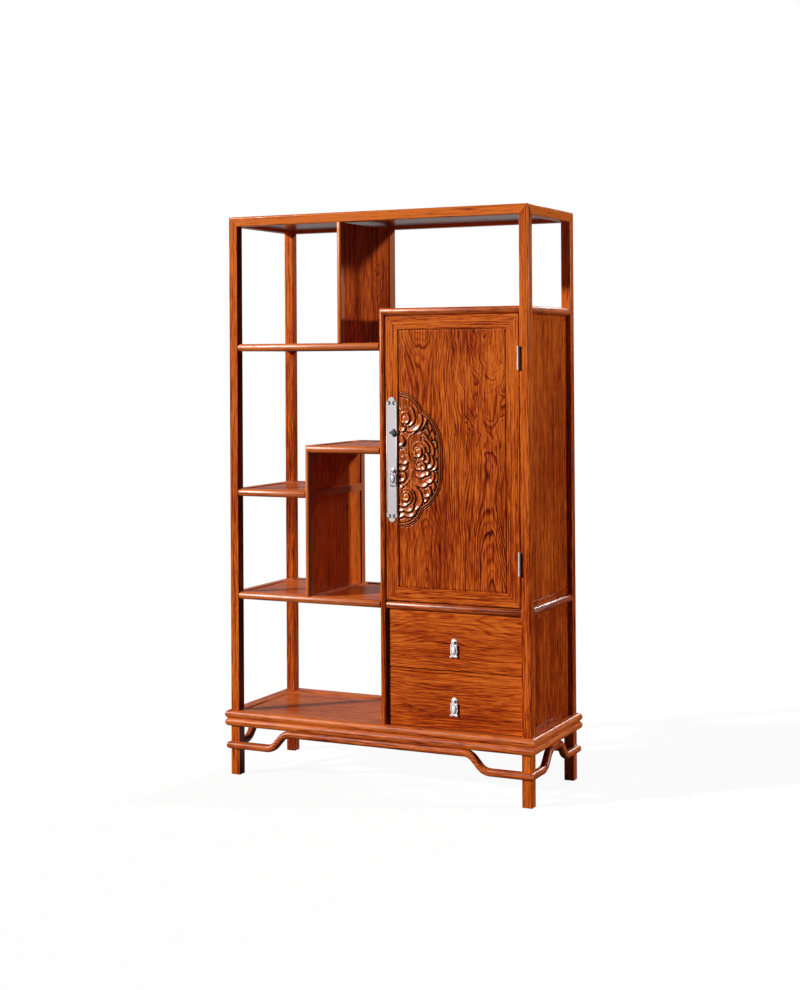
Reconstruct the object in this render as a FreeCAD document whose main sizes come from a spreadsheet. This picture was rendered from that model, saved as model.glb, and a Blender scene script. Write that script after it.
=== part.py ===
import FreeCAD, Part
import math
import os
import types
import Sketcher

# Open display cabinet with a cupboard and two drawers, on a low stand.
# +Z is up, +X is to the viewer's right and +Y goes back. The origin is on the floor, in the middle.

SIZES = {
    # the whole carcass
    "cabinet_width": 1160.0,
    "cabinet_depth": 430.0,
    "cabinet_height": 2000.0,
    "post_size": 35.0,
    "post_round": 3.0,
    "top_round": 8.0,
    # the stand
    "leg_size": 36.0,
    "leg_height": 175.0,
    "leg_round": 3.0,
    "stand_rail_height": 27.5,
    "base_rail_height": 27.5,
    "base_overhang": 16.0,
    "moulding_bulge": 8.0,
    "stretcher_overhang": 12.0,
    "stretcher_depth": 28.0,
    "stretcher_height": 26.0,
    "stretcher_round": 11.0,
    "stretcher_low_level": 92.0,
    "front_low_run": 184.0,
    "side_low_run": 128.0,
    "stretcher_ramp": 50.0,
    "stretcher_bend": 50.0,
    # shelf frames and their panels
    "rail_height": 26.0,
    "rail_bulge": 9.0,
    "panel_thickness": 12.0,
    "panel_recess": 3.0,
    "tongue_length": 8.0,
    "tongue_thickness": 6.0,
    "top_panel_thickness": 22.0,
    # heights of the shelves' top faces
    "middle_level": 654.5,
    "low_shelf_level": 1023.5,
    "step_shelf_level": 1183.5,
    "high_shelf_level": 1543.0,
    "cupboard_level": 1661.0,
    # upright divisions, measured from the middle of the cabinet
    "centre_post_offset": 20.5,
    "centre_post_width": 26.0,
    "inner_partition_offset": 253.5,
    "top_partition_offset": 122.0,
    "partition_thickness": 20.0,
    "partition_bulge": 7.0,
    "partition_panel": 10.0,
    "top_partition_front_stile": 24.0,
    "top_partition_rear_stile": 50.0,
    "inner_partition_stile": 35.0,
    "cross_rail_width": 60.0,
    "cross_rail_reach": 25.0,
    # side and back panels
    "side_panel_thickness": 10.0,
    "side_panel_recess": 8.0,
    "end_panel_recess": 17.0,
    "field_raise": 4.0,
    "field_margin": 16.0,
    "field_bevel": 6.0,
    # door
    "door_gap": 2.0,
    "door_hinge_gap": 4.0,
    "door_recess": 2.0,
    "door_thickness": 22.0,
    "door_frame_width": 45.0,
    "door_panel_thickness": 12.0,
    "door_panel_recess": 1.5,
    "door_panel_gap": 2.0,
    "door_groove_depth": 10.0,
    "door_tongue_length": 9.0,
    "door_tongue_thickness": 5.0,
    "medallion_raise": 2.0,
    "medallion_edge_gap": 4.0,
    "medallion_centre_height": 482.5,
    "medallion_side_lobe": 136.0,
    "medallion_side_centre": 27.5,
    "medallion_side_spread": 50.0,
    "medallion_end_lobe": 88.0,
    "medallion_end_centre": 7.0,
    "medallion_end_spread": 144.0,
    "medallion_border": 10.0,
    "medallion_border_raise": 1.2,
    # door stop inside
    "stop_height": 15.0,
    "stop_depth": 10.0,
    "running_gap": 0.3,
    # hinges
    "hinge_height": 75.0,
    "hinge_inset": 108.0,
    "hinge_radius": 4.5,
    "hinge_pin_radius": 1.8,
    "hinge_pin_clearance": 0.05,
    "hinge_pin_head": 2.0,
    "hinge_leaf": 1.2,
    "hinge_leaf_depth": 22.0,
    "hinge_leaf_step": 0.4,
    "knuckle_gap": 0.3,
    # lock plate and staple
    "lock_plate_width": 41.0,
    "lock_plate_height": 430.0,
    "lock_plate_thickness": 2.0,
    "lock_plate_inset": 1.5,
    "lock_lobe_radius": 13.0,
    "lock_side_lobe_radius": 10.0,
    "staple_width": 12.0,
    "staple_height": 30.0,
    "staple_thickness": 3.0,
    "staple_reach": 9.0,
    "staple_offset": 31.0,
    "staple_drop": 92.0,
    "door_pull_offset": 27.0,
    "door_pull_drop": 253.0,
    # hanging pulls
    "pull_disc_radius": 11.0,
    "pull_disc_thickness": 2.0,
    "pull_ear_thickness": 2.5,
    "pull_ear_height": 8.0,
    "pull_ear_reach": 7.6,
    "pull_pivot_reach": 5.0,
    "pull_pin_radius": 1.2,
    "pull_pin_clearance": 0.05,
    "pull_eye_radius": 2.6,
    "pull_eye_width": 6.0,
    "pull_side_gap": 0.3,
    "pendant_width": 34.0,
    "pendant_drop": 53.0,
    "pendant_thickness": 2.4,
    # drawers
    "drawer_side_gap": 2.0,
    "drawer_gap": 3.0,
    "drawer_front_thickness": 20.0,
    "drawer_recess": 14.0,
    "drawer_edge_gap": 2.5,
    "drawer_board": 12.0,
    "drawer_side_inset": 8.0,
    "drawer_side_lift": 8.0,
    "drawer_side_headroom": 28.0,
    "drawer_back_room": 33.0,
    "drawer_bottom_thickness": 6.0,
    "drawer_bottom_lift": 10.0,
    "drawer_bottom_tongue": 5.0,
    "runner_height": 14.0,
    # boards inside the cupboard
    "inner_shelf_thickness": 14.0,
    "inner_shelf_clearance": 0.5,
    "cleat_size": 18.0,
    "inner_shelf_setback": 6.0,
}

# Shares of the size that they follow.
LOWER_INNER_SHELF_SHARE = 0.34
UPPER_INNER_SHELF_SHARE = 0.67
KNUCKLE_SHARE = 1 / 3
STAPLE_EYE_SHARE = 0.25
QUARTER_SAGITTA_SHARE = 1 - math.sqrt(0.5)
# The pendant's outline from its neck down: half width, drop and swell of the edge that follows.
# The neck's half width is a share of the eye's, and the others are shares of the pendant's.
PENDANT_SHARES = [
    (0.95, 0.10, 0.0),
    (0.34, 0.15, -0.05),
    (0.78, 0.14, 0.12),
    (0.62, 0.31, -0.08),
    (0.52, 0.36, 0.16),
    (0.60, 0.78, -0.04),
    (0.34, 0.86, -0.05),
    (0.66, 1.00, 0.0),
]

doc = FreeCAD.newDocument("book_cabinet")
sheet = doc.addObject("Spreadsheet::Sheet", "Sizes")
for row, (name, value) in enumerate(SIZES.items(), 1):
    sheet.set("A%d" % row, name)
    sheet.set("B%d" % row, str(value))
    sheet.setAlias("B%d" % row, name)
doc.recompute()


class Size:
    """A named size, or a sum worked out from named sizes: its value and its expression."""

    def __init__(self, value, text):
        self.value = value
        self.text = text

    def __add__(self, other):
        other = as_size(other)
        return Size(self.value + other.value, "(%s + %s)" % (self.text, other.text))

    def __sub__(self, other):
        other = as_size(other)
        return Size(self.value - other.value, "(%s - %s)" % (self.text, other.text))

    def __mul__(self, other):
        other = as_size(other)
        return Size(self.value * other.value, "%s * %s" % (self.text, other.text))

    def __truediv__(self, other):
        other = as_size(other)
        return Size(self.value / other.value, "%s / %s" % (self.text, other.text))

    def __neg__(self):
        return Size(-self.value, "(0 - %s)" % self.text)

    def __radd__(self, other):
        return as_size(other) + self

    def __rsub__(self, other):
        return as_size(other) - self

    def __rmul__(self, other):
        return as_size(other) * self


def as_size(number):
    return number if isinstance(number, Size) else Size(float(number), "(%r)" % float(number))


def group(size):
    """The same size, with its expression in brackets so that it can be divided by."""
    return Size(size.value, "(%s)" % size.text)


size = types.SimpleNamespace(**{name: Size(value, "Sizes." + name) for name, value in SIZES.items()})

RIGHT = FreeCAD.Vector(1, 0, 0)
LEFT = FreeCAD.Vector(-1, 0, 0)
BACK = FreeCAD.Vector(0, 1, 0)
FRONT = FreeCAD.Vector(0, -1, 0)
UP = FreeCAD.Vector(0, 0, 1)
DOWN = FreeCAD.Vector(0, 0, -1)

nodes = []


# Places worked out from the sizes

half_width = size.cabinet_width / 2
half_depth = size.cabinet_depth / 2
bay_side = half_width - size.post_size
bay_depth = half_depth - size.post_size
base_bottom = size.leg_height + size.stand_rail_height
floor_level = base_bottom + size.base_rail_height
centre_left = size.centre_post_offset
centre_right = centre_left + size.centre_post_width
inner_right = -size.inner_partition_offset
inner_left = inner_right - size.partition_thickness
upper_right = -size.top_partition_offset
upper_left = upper_right - size.partition_thickness
tongue_cover = (size.panel_thickness - size.tongue_thickness) / 2
middle_bottom = size.middle_level - size.rail_height
low_shelf_bottom = size.low_shelf_level - size.rail_height
step_shelf_bottom = size.step_shelf_level - size.rail_height
high_shelf_bottom = size.high_shelf_level - size.rail_height
cupboard_bottom = size.cupboard_level - size.rail_height
top_bottom = size.cabinet_height - size.post_size
side_outside = half_width - size.end_panel_recess
side_inside = side_outside - size.side_panel_thickness
back_outside = half_depth - size.side_panel_recess
left_panel_near = centre_left + size.side_panel_recess
left_panel_far = left_panel_near + size.side_panel_thickness


# Ways to make and place a piece

def bind(thing, path, length):
    thing.setExpression(path, as_size(length).text)


def place(thing, origin, along=RIGHT, inward=BACK):
    """Puts the piece's own origin at a point, its X axis along one way and its Y axis inward."""
    turn = FreeCAD.Rotation(along, inward, along.cross(inward), "XYZ")
    base = FreeCAD.Vector(*[as_size(length).value for length in origin])
    thing.Placement = FreeCAD.Placement(base, turn)
    for axis, length in zip("xyz", origin):
        bind(thing, "Placement.Base." + axis, length)
    return thing


def box(label, low, high):
    """A board between two corners."""
    board = doc.addObject("Part::Box", label)
    board.Label = label
    for side, start, stop in zip(("Length", "Width", "Height"), low, high):
        bind(board, side, as_size(stop) - start)
    return place(board, low)


def bevelled_field(label, origin, along, outward, width, raise_by, height):
    """A flat raised field, its back corner at a point, whose four edges slope up to its face."""
    field = doc.addObject("Part::Wedge", label)
    field.Label = label
    bevel = size.field_bevel
    bounds = (
        ("Xmin", 0),
        ("Ymin", 0),
        ("Zmin", 0),
        ("X2min", bevel),
        ("Z2min", bevel),
        ("Xmax", width),
        ("Ymax", raise_by),
        ("Zmax", height),
        ("X2max", width - bevel),
        ("Z2max", height - bevel),
    )
    for name, value in bounds:
        bind(field, name, value)
    return place(field, origin, along, outward)


def cylinder(label, start, axis, radius, length):
    """A round piece that starts at a point and runs along an axis."""
    rod = doc.addObject("Part::Cylinder", label)
    rod.Label = label
    bind(rod, "Radius", radius)
    bind(rod, "Height", length)
    base = FreeCAD.Vector(*[as_size(value).value for value in start])
    rod.Placement = FreeCAD.Placement(base, FreeCAD.Rotation(UP, axis))
    for name, value in zip("xyz", start):
        bind(rod, "Placement.Base." + name, value)
    return rod


def fuse(label, shapes):
    joined = doc.addObject("Part::MultiFuse", label)
    joined.Label = label
    joined.Shapes = shapes
    joined.Refine = True
    return joined


def cut(label, base, tool):
    rest = doc.addObject("Part::Cut", label)
    rest.Label = label
    rest.Base = base
    rest.Tool = tool
    return rest


def node(label, pieces):
    """One named node that holds separate solids."""
    holder = doc.addObject("Part::Compound", label)
    holder.Label = label
    holder.Links = pieces
    nodes.append(holder)
    return holder


def single(thing):
    nodes.append(thing)
    return thing


def new_body(label):
    body = doc.addObject("PartDesign::Body", label)
    body.Label = label
    return body


def origin_plane(body, role):
    return [feature for feature in body.Origin.OriginFeatures if feature.Role == role][0]


def draw_edge(sketch, start, stop, swell):
    """One edge of an outline: a line, or an arc that swells to the right of its way."""
    first = FreeCAD.Vector(start[0].value, start[1].value, 0)
    last = FreeCAD.Vector(stop[0].value, stop[1].value, 0)
    if swell.value == 0:
        return sketch.addGeometry(Part.LineSegment(first, last), False), 1, 2
    way = last - first
    side = FreeCAD.Vector(way.y, -way.x, 0).normalize()
    middle = (first + last) / 2 + side * swell.value
    edge = sketch.addGeometry(Part.Arc(first, middle, last), False)
    return (edge, 1, 2) if end_near(sketch, edge, first) == 1 else (edge, 2, 1)


def end_near(sketch, edge, point):
    """The number of the edge's end that lies nearer a point: 1 for its start, 2 for its end."""
    gaps = [(sketch.getPoint(edge, end) - point).Length for end in (1, 2)]
    return 1 if gaps[0] < gaps[1] else 2


def hold_point(sketch, edge, end, point):
    """Ties an outline's corner to its two coordinates."""
    for kind, line, length in zip(("DistanceX", "DistanceY"), (-2, -1), point):
        if length.value == 0:
            sketch.addConstraint(Sketcher.Constraint("PointOnObject", edge, end, line))
        else:
            index = sketch.addConstraint(Sketcher.Constraint(kind, edge, end, length.value))
            bind(sketch, "Constraints[%d]" % index, length)


def outline(body, role, corners):
    """A closed outline on one of the body's own planes; a corner is u, v and the next edge's swell."""
    sketch = body.newObject("Sketcher::SketchObject", body.Label + "_outline")
    sketch.AttachmentSupport = [(origin_plane(body, role), "")]
    sketch.MapMode = "FlatFace"
    points = [[as_size(value) for value in (tuple(corner) + (0,))[:3]] for corner in corners]
    edges = []
    for index, (u, v, swell) in enumerate(points):
        following = points[(index + 1) % len(points)]
        edges.append(draw_edge(sketch, (u, v), following, swell))
    for index, (edge, first, last) in enumerate(edges):
        following, start, _ = edges[(index + 1) % len(edges)]
        sketch.addConstraint(Sketcher.Constraint("Coincident", edge, last, following, start))
    for index, (edge, first, last) in enumerate(edges):
        u, v, swell = points[index]
        hold_point(sketch, edge, first, (u, v))
        if swell.value != 0:
            following = points[(index + 1) % len(points)]
            hold_arc(sketch, edge, (u, v), following, swell)
    return sketch


def hold_arc(sketch, edge, start, stop, swell):
    """Ties an arc's radius to its chord and swell."""
    across = group(stop[0] - start[0])
    along = group(stop[1] - start[1])
    rise = group(swell if swell.value > 0 else -swell)
    radius = group((across * across + along * along) / 4 + rise * rise) / group(rise * 2)
    index = sketch.addConstraint(Sketcher.Constraint("Radius", edge, radius.value))
    bind(sketch, "Constraints[%d]" % index, radius)


def pad(body, sketch, length, reverse=False):
    feature = body.newObject("PartDesign::Pad", body.Label + "_pad")
    feature.Profile = sketch
    feature.Reversed = reverse
    bind(feature, "Length", length)
    return feature


def pocket(body, role, corners):
    """Cuts an outline right through the body, both ways from its plane."""
    sketch = outline(body, role, corners)
    feature = body.newObject("PartDesign::Pocket", body.Label + "_pocket")
    feature.Profile = sketch
    feature.Type = "ThroughAll"
    feature.Midplane = True
    return feature


def rounded_rectangle(low_u, low_v, high_u, high_v, radius):
    """The corners of a rectangle whose edges are rounded."""
    swell = radius * QUARTER_SAGITTA_SHARE
    return [
        (low_u + radius, low_v),
        (high_u - radius, low_v, swell),
        (high_u, low_v + radius),
        (high_u, high_v - radius, swell),
        (high_u - radius, high_v),
        (low_u + radius, high_v, swell),
        (low_u, high_v - radius),
        (low_u, low_v + radius, swell),
    ]


def round_faced(width, height, bulge, groove=None):
    """A rail's section: its outer face swells, and its inner face may have a groove."""
    inner = [(width, 0), (width, height)]
    if groove:
        low, high, depth = groove
        inner = [
            (width, 0),
            (width, low),
            (width - depth, low),
            (width - depth, high),
            (width, high),
            (width, height),
        ]
    return [(bulge, 0)] + inner + [(bulge, height, bulge)]


def member(label, section, length, plan_mitre=None, rise_mitre=None, ends=(True, True)):
    """A straight rail or stile along its own X axis, mitred in plan, in elevation or both.

    A mitre is its run along the piece and its reach across it.
    """
    body = new_body(label)
    pad(body, outline(body, "YZ_Plane", section), length)
    length = as_size(length)
    if plan_mitre:
        run, reach = plan_mitre
        if ends[0]:
            pocket(body, "XY_Plane", [(0, 0), (run, reach), (0, reach)])
        if ends[1]:
            pocket(body, "XY_Plane", [(length, 0), (length, reach), (length - run, reach)])
    if rise_mitre:
        run, reach = rise_mitre
        if ends[0]:
            pocket(body, "XZ_Plane", [(0, 0), (run, 0), (0, reach)])
        if ends[1]:
            pocket(body, "XZ_Plane", [(length, 0), (length, reach), (length - run, 0)])
    return body


def shelf_groove(height):
    """The groove that holds a shelf panel's tongue: its low and high edges and its depth."""
    high = height - size.panel_recess - tongue_cover
    return high - size.tongue_thickness, high, size.tongue_length


def cross_panel(label, low, high, tongues=(True, True)):
    """A shelf panel whose tongues enter its frame but stop short of the posts."""
    top = high[2]
    tongue_high = top - tongue_cover
    tongue_low = tongue_high - size.tongue_thickness
    field = box(label + "_field", low, high)
    reach = size.tongue_length
    front_back = box(
        label + "_tongue_y",
        (low[0], low[1] - reach, tongue_low),
        (high[0], high[1] + reach, tongue_high),
    )
    left_reach = reach if tongues[0] else 0
    right_reach = reach if tongues[1] else 0
    left_right = box(
        label + "_tongue_x",
        (low[0] - left_reach, low[1], tongue_low),
        (high[0] + right_reach, high[1], tongue_high),
    )
    return fuse(label, [field, front_back, left_right])


def mitred_ring(label, half_x, half_y, bottom, section, plan_mitre, rise_mitre=None):
    """Four rails round a rectangle, mitred at its corners."""
    sides = (
        ("front", size_pair(-half_x, -half_y), RIGHT, BACK, half_x * 2),
        ("right", size_pair(half_x, -half_y), BACK, LEFT, half_y * 2),
        ("rear", size_pair(half_x, half_y), LEFT, FRONT, half_x * 2),
        ("left", size_pair(-half_x, half_y), FRONT, RIGHT, half_y * 2),
    )
    rails = []
    for side, (x, y), along, inward, length in sides:
        rail = member(label + "_" + side, section, length, plan_mitre, rise_mitre)
        rails.append(place(rail, (x, y, bottom), along, inward))
    return node(label, rails)


def size_pair(first, second):
    return as_size(first), as_size(second)


# The stand

def legs():
    for name, x_side, y_side in corners():
        body = new_body("leg_" + name)
        section = rounded_rectangle(as_size(0), as_size(0), size.leg_size, size.leg_size, size.leg_round)
        pad(body, outline(body, "XY_Plane", section), size.leg_height)
        x = (half_width - size.post_size / 2) * x_side - size.leg_size / 2
        y = (half_depth - size.post_size / 2) * y_side - size.leg_size / 2
        single(place(body, (x, y, 0)))


def corners():
    return (
        ("front_left", -1, -1),
        ("front_right", 1, -1),
        ("rear_right", 1, 1),
        ("rear_left", -1, 1),
    )


def bend_points(before, corner, after, radius):
    """The tangent points and the middle of the arc that rounds a corner of a path."""
    back = (before - corner).normalize()
    ahead = (after - corner).normalize()
    half_turn = back.getAngle(ahead) / 2
    reach = radius / math.tan(half_turn)
    middle_way = (back + ahead).normalize()
    middle = corner + middle_way * (radius / math.sin(half_turn) - radius)
    return corner + back * reach, middle, corner + ahead * reach


def hump_path(body, length, low, high, low_run, ramp, radius):
    """The stretcher's centre line: low at its ends, high in the middle, with round bends."""
    sketch = body.newObject("Sketcher::SketchObject", body.Label + "_path")
    sketch.AttachmentSupport = [(origin_plane(body, "XZ_Plane"), "")]
    sketch.MapMode = "FlatFace"
    high_run = low_run + ramp
    turns = [
        (0, low),
        (low_run, low),
        (high_run, high),
        (length - high_run, high),
        (length - low_run, low),
        (length, low),
    ]
    points = [FreeCAD.Vector(as_size(u).value, as_size(v).value, 0) for u, v in turns]
    start = points[0]
    pieces = []
    meetings = []
    for before, corner, after in zip(points, points[1:], points[2:]):
        first, middle, last = bend_points(before, corner, after, radius.value)
        meetings += [first, last]
        pieces.append(sketch.addGeometry(Part.LineSegment(start, first), False))
        pieces.append(sketch.addGeometry(Part.Arc(first, middle, last), False))
        start = last
    pieces.append(sketch.addGeometry(Part.LineSegment(start, points[-1]), False))
    hold_path(sketch, pieces, meetings, turns, radius)
    return sketch, len(pieces)


def hold_path(sketch, pieces, meetings, turns, radius):
    """Ties the centre line's runs and bends to their sizes."""
    for first, second, point in zip(pieces, pieces[1:], meetings):
        ends = end_near(sketch, first, point), end_near(sketch, second, point)
        sketch.addConstraint(Sketcher.Constraint("Tangent", first, ends[0], second, ends[1]))
    for bend in pieces[1::2]:
        index = sketch.addConstraint(Sketcher.Constraint("Radius", bend, radius.value))
        bind(sketch, "Constraints[%d]" % index, radius)
    for run in (pieces[0], pieces[4], pieces[8]):
        sketch.addConstraint(Sketcher.Constraint("Horizontal", run))
    hold_point(sketch, pieces[0], 1, [as_size(value) for value in turns[0]])
    hold_point(sketch, pieces[-1], 2, [as_size(value) for value in turns[-1]])
    rise = Sketcher.Constraint("DistanceY", pieces[4], 1, as_size(turns[2][1]).value)
    index = sketch.addConstraint(rise)
    bind(sketch, "Constraints[%d]" % index, turns[2][1])
    hold_ramp(sketch, pieces[0], pieces[2], turns[1], turns[2])
    hold_ramp(sketch, pieces[8], pieces[6], turns[4], turns[3])


def hold_ramp(sketch, run, ramp, low_corner, high_corner):
    """Ties a ramp to the two corners that its bends round, by a construction line between them."""
    corners_at = [[as_size(value) for value in corner] for corner in (low_corner, high_corner)]
    points = [FreeCAD.Vector(u.value, v.value, 0) for u, v in corners_at]
    guide = sketch.addGeometry(Part.LineSegment(points[0], points[1]), True)
    hold_point(sketch, guide, 1, corners_at[0])
    hold_point(sketch, guide, 2, corners_at[1])
    sketch.addConstraint(Sketcher.Constraint("PointOnObject", ramp, 1, guide))
    sketch.addConstraint(Sketcher.Constraint("PointOnObject", ramp, 2, guide))


def hump_stretcher(side, length, low_run):
    """A humpback stretcher: a round-edged bar swept along its bent path and notched round the legs."""
    body = new_body("hump_stretcher_" + side)
    half_height = size.stretcher_height / 2
    low = size.stretcher_low_level + half_height
    high = size.leg_height - half_height
    path, count = hump_path(body, length, low, high, low_run, size.stretcher_ramp, size.stretcher_bend)
    section = rounded_rectangle(
        as_size(0),
        size.stretcher_low_level,
        size.stretcher_depth,
        size.stretcher_low_level + size.stretcher_height,
        size.stretcher_round,
    )
    pipe = body.newObject("PartDesign::AdditivePipe", body.Label + "_pipe")
    pipe.Profile = outline(body, "YZ_Plane", section)
    pipe.Spine = (path, ["Edge%d" % number for number in range(1, count + 1)])
    depth = size.stretcher_depth
    pocket(body, "XY_Plane", [(0, 0), (depth, depth), (0, depth)])
    pocket(body, "XY_Plane", [(length, 0), (length, depth), (length - depth, depth)])
    notch_start = size.stretcher_overhang + (size.post_size - size.leg_size) / 2
    notch_stop = notch_start + size.leg_size
    for near, far in ((notch_start, notch_stop), (length - notch_stop, length - notch_start)):
        pocket(body, "XY_Plane", [(near, notch_start), (far, notch_start), (far, depth), (near, depth)])
    return body


def stretchers():
    reach_x = half_width + size.stretcher_overhang
    reach_y = half_depth + size.stretcher_overhang
    sides = (
        ("front", (-reach_x, -reach_y, 0), RIGHT, BACK, reach_x * 2, size.front_low_run),
        ("right", (reach_x, -reach_y, 0), BACK, LEFT, reach_y * 2, size.side_low_run),
        ("rear", (reach_x, reach_y, 0), LEFT, FRONT, reach_x * 2, size.front_low_run),
        ("left", (-reach_x, reach_y, 0), FRONT, RIGHT, reach_y * 2, size.side_low_run),
    )
    for side, origin, along, inward, length, low_run in sides:
        single(place(hump_stretcher(side, length, low_run), origin, along, inward))


def base():
    reach_x = half_width + size.base_overhang
    reach_y = half_depth + size.base_overhang
    width = size.base_overhang + size.post_size
    plain = round_faced(width, size.stand_rail_height, size.moulding_bulge)
    mitred_ring("stand_frame", reach_x, reach_y, size.leg_height, plain, (width, width))
    groove = shelf_groove(size.base_rail_height)
    grooved = round_faced(width, size.base_rail_height, size.moulding_bulge, groove)
    mitred_ring("base_frame", reach_x, reach_y, base_bottom, grooved, (width, width))
    top = floor_level - size.panel_recess
    bottom = top - size.panel_thickness
    single(cross_panel("floor_panel", (-bay_side, -bay_depth, bottom), (bay_side, bay_depth, top)))


# Posts and the top

def posts():
    length = size.cabinet_height - floor_level
    side = size.post_size
    places = (
        ("front_left", (-half_width, -half_depth), RIGHT, BACK),
        ("front_right", (half_width, -half_depth), BACK, LEFT),
        ("rear_right", (half_width, half_depth), LEFT, FRONT),
        ("rear_left", (-half_width, half_depth), FRONT, RIGHT),
    )
    for name, (x, y), along, inward in places:
        body = new_body("post_" + name)
        section = rounded_rectangle(as_size(0), as_size(0), side, side, size.post_round)
        pad(body, outline(body, "XY_Plane", section), length)
        for role in ("XZ_Plane", "YZ_Plane"):
            pocket(body, role, [(0, length), (side, length - side), (side, length)])
        single(place(body, (x, y, floor_level), along, inward))


def top():
    side = size.post_size
    high = side - size.panel_recess - tongue_cover
    low = high - size.tongue_thickness
    depth = size.tongue_length
    edge = size.post_round
    swell = edge * QUARTER_SAGITTA_SHARE
    high_edge = size.top_round
    high_swell = high_edge * QUARTER_SAGITTA_SHARE
    section = [
        (edge, 0),
        (side, 0),
        (side, low),
        (side - depth, low),
        (side - depth, high),
        (side, high),
        (side, side),
        (high_edge, side, high_swell),
        (0, side - high_edge),
        (0, edge, swell),
    ]
    mitred_ring("top_frame", half_width, half_depth, top_bottom, section, (side, side), (side, side))
    level = size.cabinet_height - size.panel_recess
    field = box(
        "top_panel_field",
        (-bay_side, -bay_depth, level - size.top_panel_thickness),
        (bay_side, bay_depth, level),
    )
    tongue = box(
        "top_panel_tongue",
        (-bay_side - depth, -bay_depth - depth, top_bottom + low),
        (bay_side + depth, bay_depth + depth, top_bottom + high),
    )
    single(fuse("top_panel", [field, tongue]))


def centre_posts():
    length = size.cupboard_level - floor_level
    width = size.centre_post_width
    section = round_faced(size.post_size, width, size.rail_bulge)
    front = member("centre_post_front", section, length, None, (width, width), (False, True))
    single(place(front, (centre_right, -half_depth, floor_level), UP, BACK))
    rear = member("centre_post_rear", section, length, None, (width, width), (True, False))
    single(place(rear, (centre_right, half_depth, size.cupboard_level), DOWN, FRONT))


# Shelves on the open side

def rail_section(grooved=True):
    groove = shelf_groove(size.rail_height) if grooved else None
    return round_faced(size.post_size, size.rail_height, size.rail_bulge, groove)


def long_rails(label, left, right, bottom, mitre=None, mitred_end=None):
    """The front and rear rails between two upright members."""
    length = right - left
    front_ends = (mitred_end == "left", mitred_end == "right")
    front = member(label + "_front", rail_section(), length, None, mitre, front_ends)
    rear = member(label + "_rear", rail_section(), length, None, mitre, front_ends[::-1])
    place(front, (left, -half_depth, bottom), RIGHT, BACK)
    place(rear, (right, half_depth, bottom), LEFT, FRONT)
    return [front, rear]


def left_rail(label, bottom):
    """The short rail between the two left posts."""
    rail = member(label + "_left", rail_section(), bay_depth * 2)
    return place(rail, (-half_width, bay_depth, bottom), FRONT, RIGHT)


def right_rail(label, bottom):
    """The short rail between the two right posts."""
    rail = member(label + "_right", rail_section(), bay_depth * 2)
    return place(rail, (half_width, -bay_depth, bottom), BACK, LEFT)


def square_rail(label, left, right, bottom, groove_left=False, groove_right=False):
    """A plain cross rail from front to back, grooved where a shelf panel enters it."""
    low, high, depth = shelf_groove(size.rail_height)
    bar = box(label, (left, -bay_depth, bottom), (right, bay_depth, bottom + size.rail_height))
    spans = []
    if groove_left:
        spans.append((left, left + depth))
    if groove_right:
        spans.append((right - depth, right))
    for index, (near, far) in enumerate(spans):
        name = "%s_slot_%d" % (label, index)
        slot = box(name, (near, -bay_depth, bottom + low), (far, bay_depth, bottom + high))
        bar = cut(name + "_cut", bar, slot)
    return bar


def shelf_panel(label, left, right, level, tongues=(True, True)):
    top = level - size.panel_recess
    low = (left, -bay_depth, top - size.panel_thickness)
    return cross_panel(label, low, (right, bay_depth, top), tongues)


def high_shelf():
    label = "high_shelf_frame"
    rails = long_rails(label, -bay_side, centre_left, high_shelf_bottom)
    rails.append(left_rail(label, high_shelf_bottom))
    post_rail = square_rail(label + "_right", centre_left, centre_right, high_shelf_bottom, True)
    rails.append(post_rail)
    node(label, rails)
    single(shelf_panel("high_shelf_panel", -bay_side, centre_left, size.high_shelf_level))


def step_shelf():
    label = "step_shelf_frame"
    section = rail_section()
    length = centre_left - inner_left
    mitre = (size.partition_thickness, size.rail_height)
    front = member(label + "_front", section, length, None, mitre, (True, False))
    rear = member(label + "_rear", section, length, None, mitre, (False, True))
    place(front, (inner_left, -half_depth, step_shelf_bottom), RIGHT, BACK)
    place(rear, (centre_left, half_depth, step_shelf_bottom), LEFT, FRONT)
    left = square_rail(label + "_left", inner_left, inner_right, step_shelf_bottom, False, True)
    right = square_rail(label + "_right", centre_left, centre_right, step_shelf_bottom, True)
    node(label, [front, rear, left, right])
    single(shelf_panel("step_shelf_panel", inner_right, centre_left, size.step_shelf_level))


def low_shelf():
    label = "low_shelf_frame"
    rails = long_rails(label, -bay_side, inner_left, low_shelf_bottom)
    rails.append(left_rail(label, low_shelf_bottom))
    node(label, rails)
    panel = shelf_panel("low_shelf_panel", -bay_side, inner_left, size.low_shelf_level, (True, False))
    single(panel)


def middle_shelf():
    label = "middle_shelf_frame"
    cross_right = inner_right + size.cross_rail_reach
    cross_left = cross_right - size.cross_rail_width
    rails = long_rails(label, -bay_side, centre_left, middle_bottom)
    rails.append(left_rail(label, middle_bottom))
    rails.append(square_rail(label + "_cross", cross_left, cross_right, middle_bottom, True, True))
    rails.append(square_rail(label + "_right", centre_left, centre_right, middle_bottom, True, True))
    node(label, rails)
    left_panel = shelf_panel("middle_shelf_panel_left", -bay_side, cross_left, size.middle_level)
    right_panel = shelf_panel("middle_shelf_panel_right", cross_right, centre_left, size.middle_level)
    node("middle_shelf_panels", [left_panel, right_panel])


# Upright partitions on the open side

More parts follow.
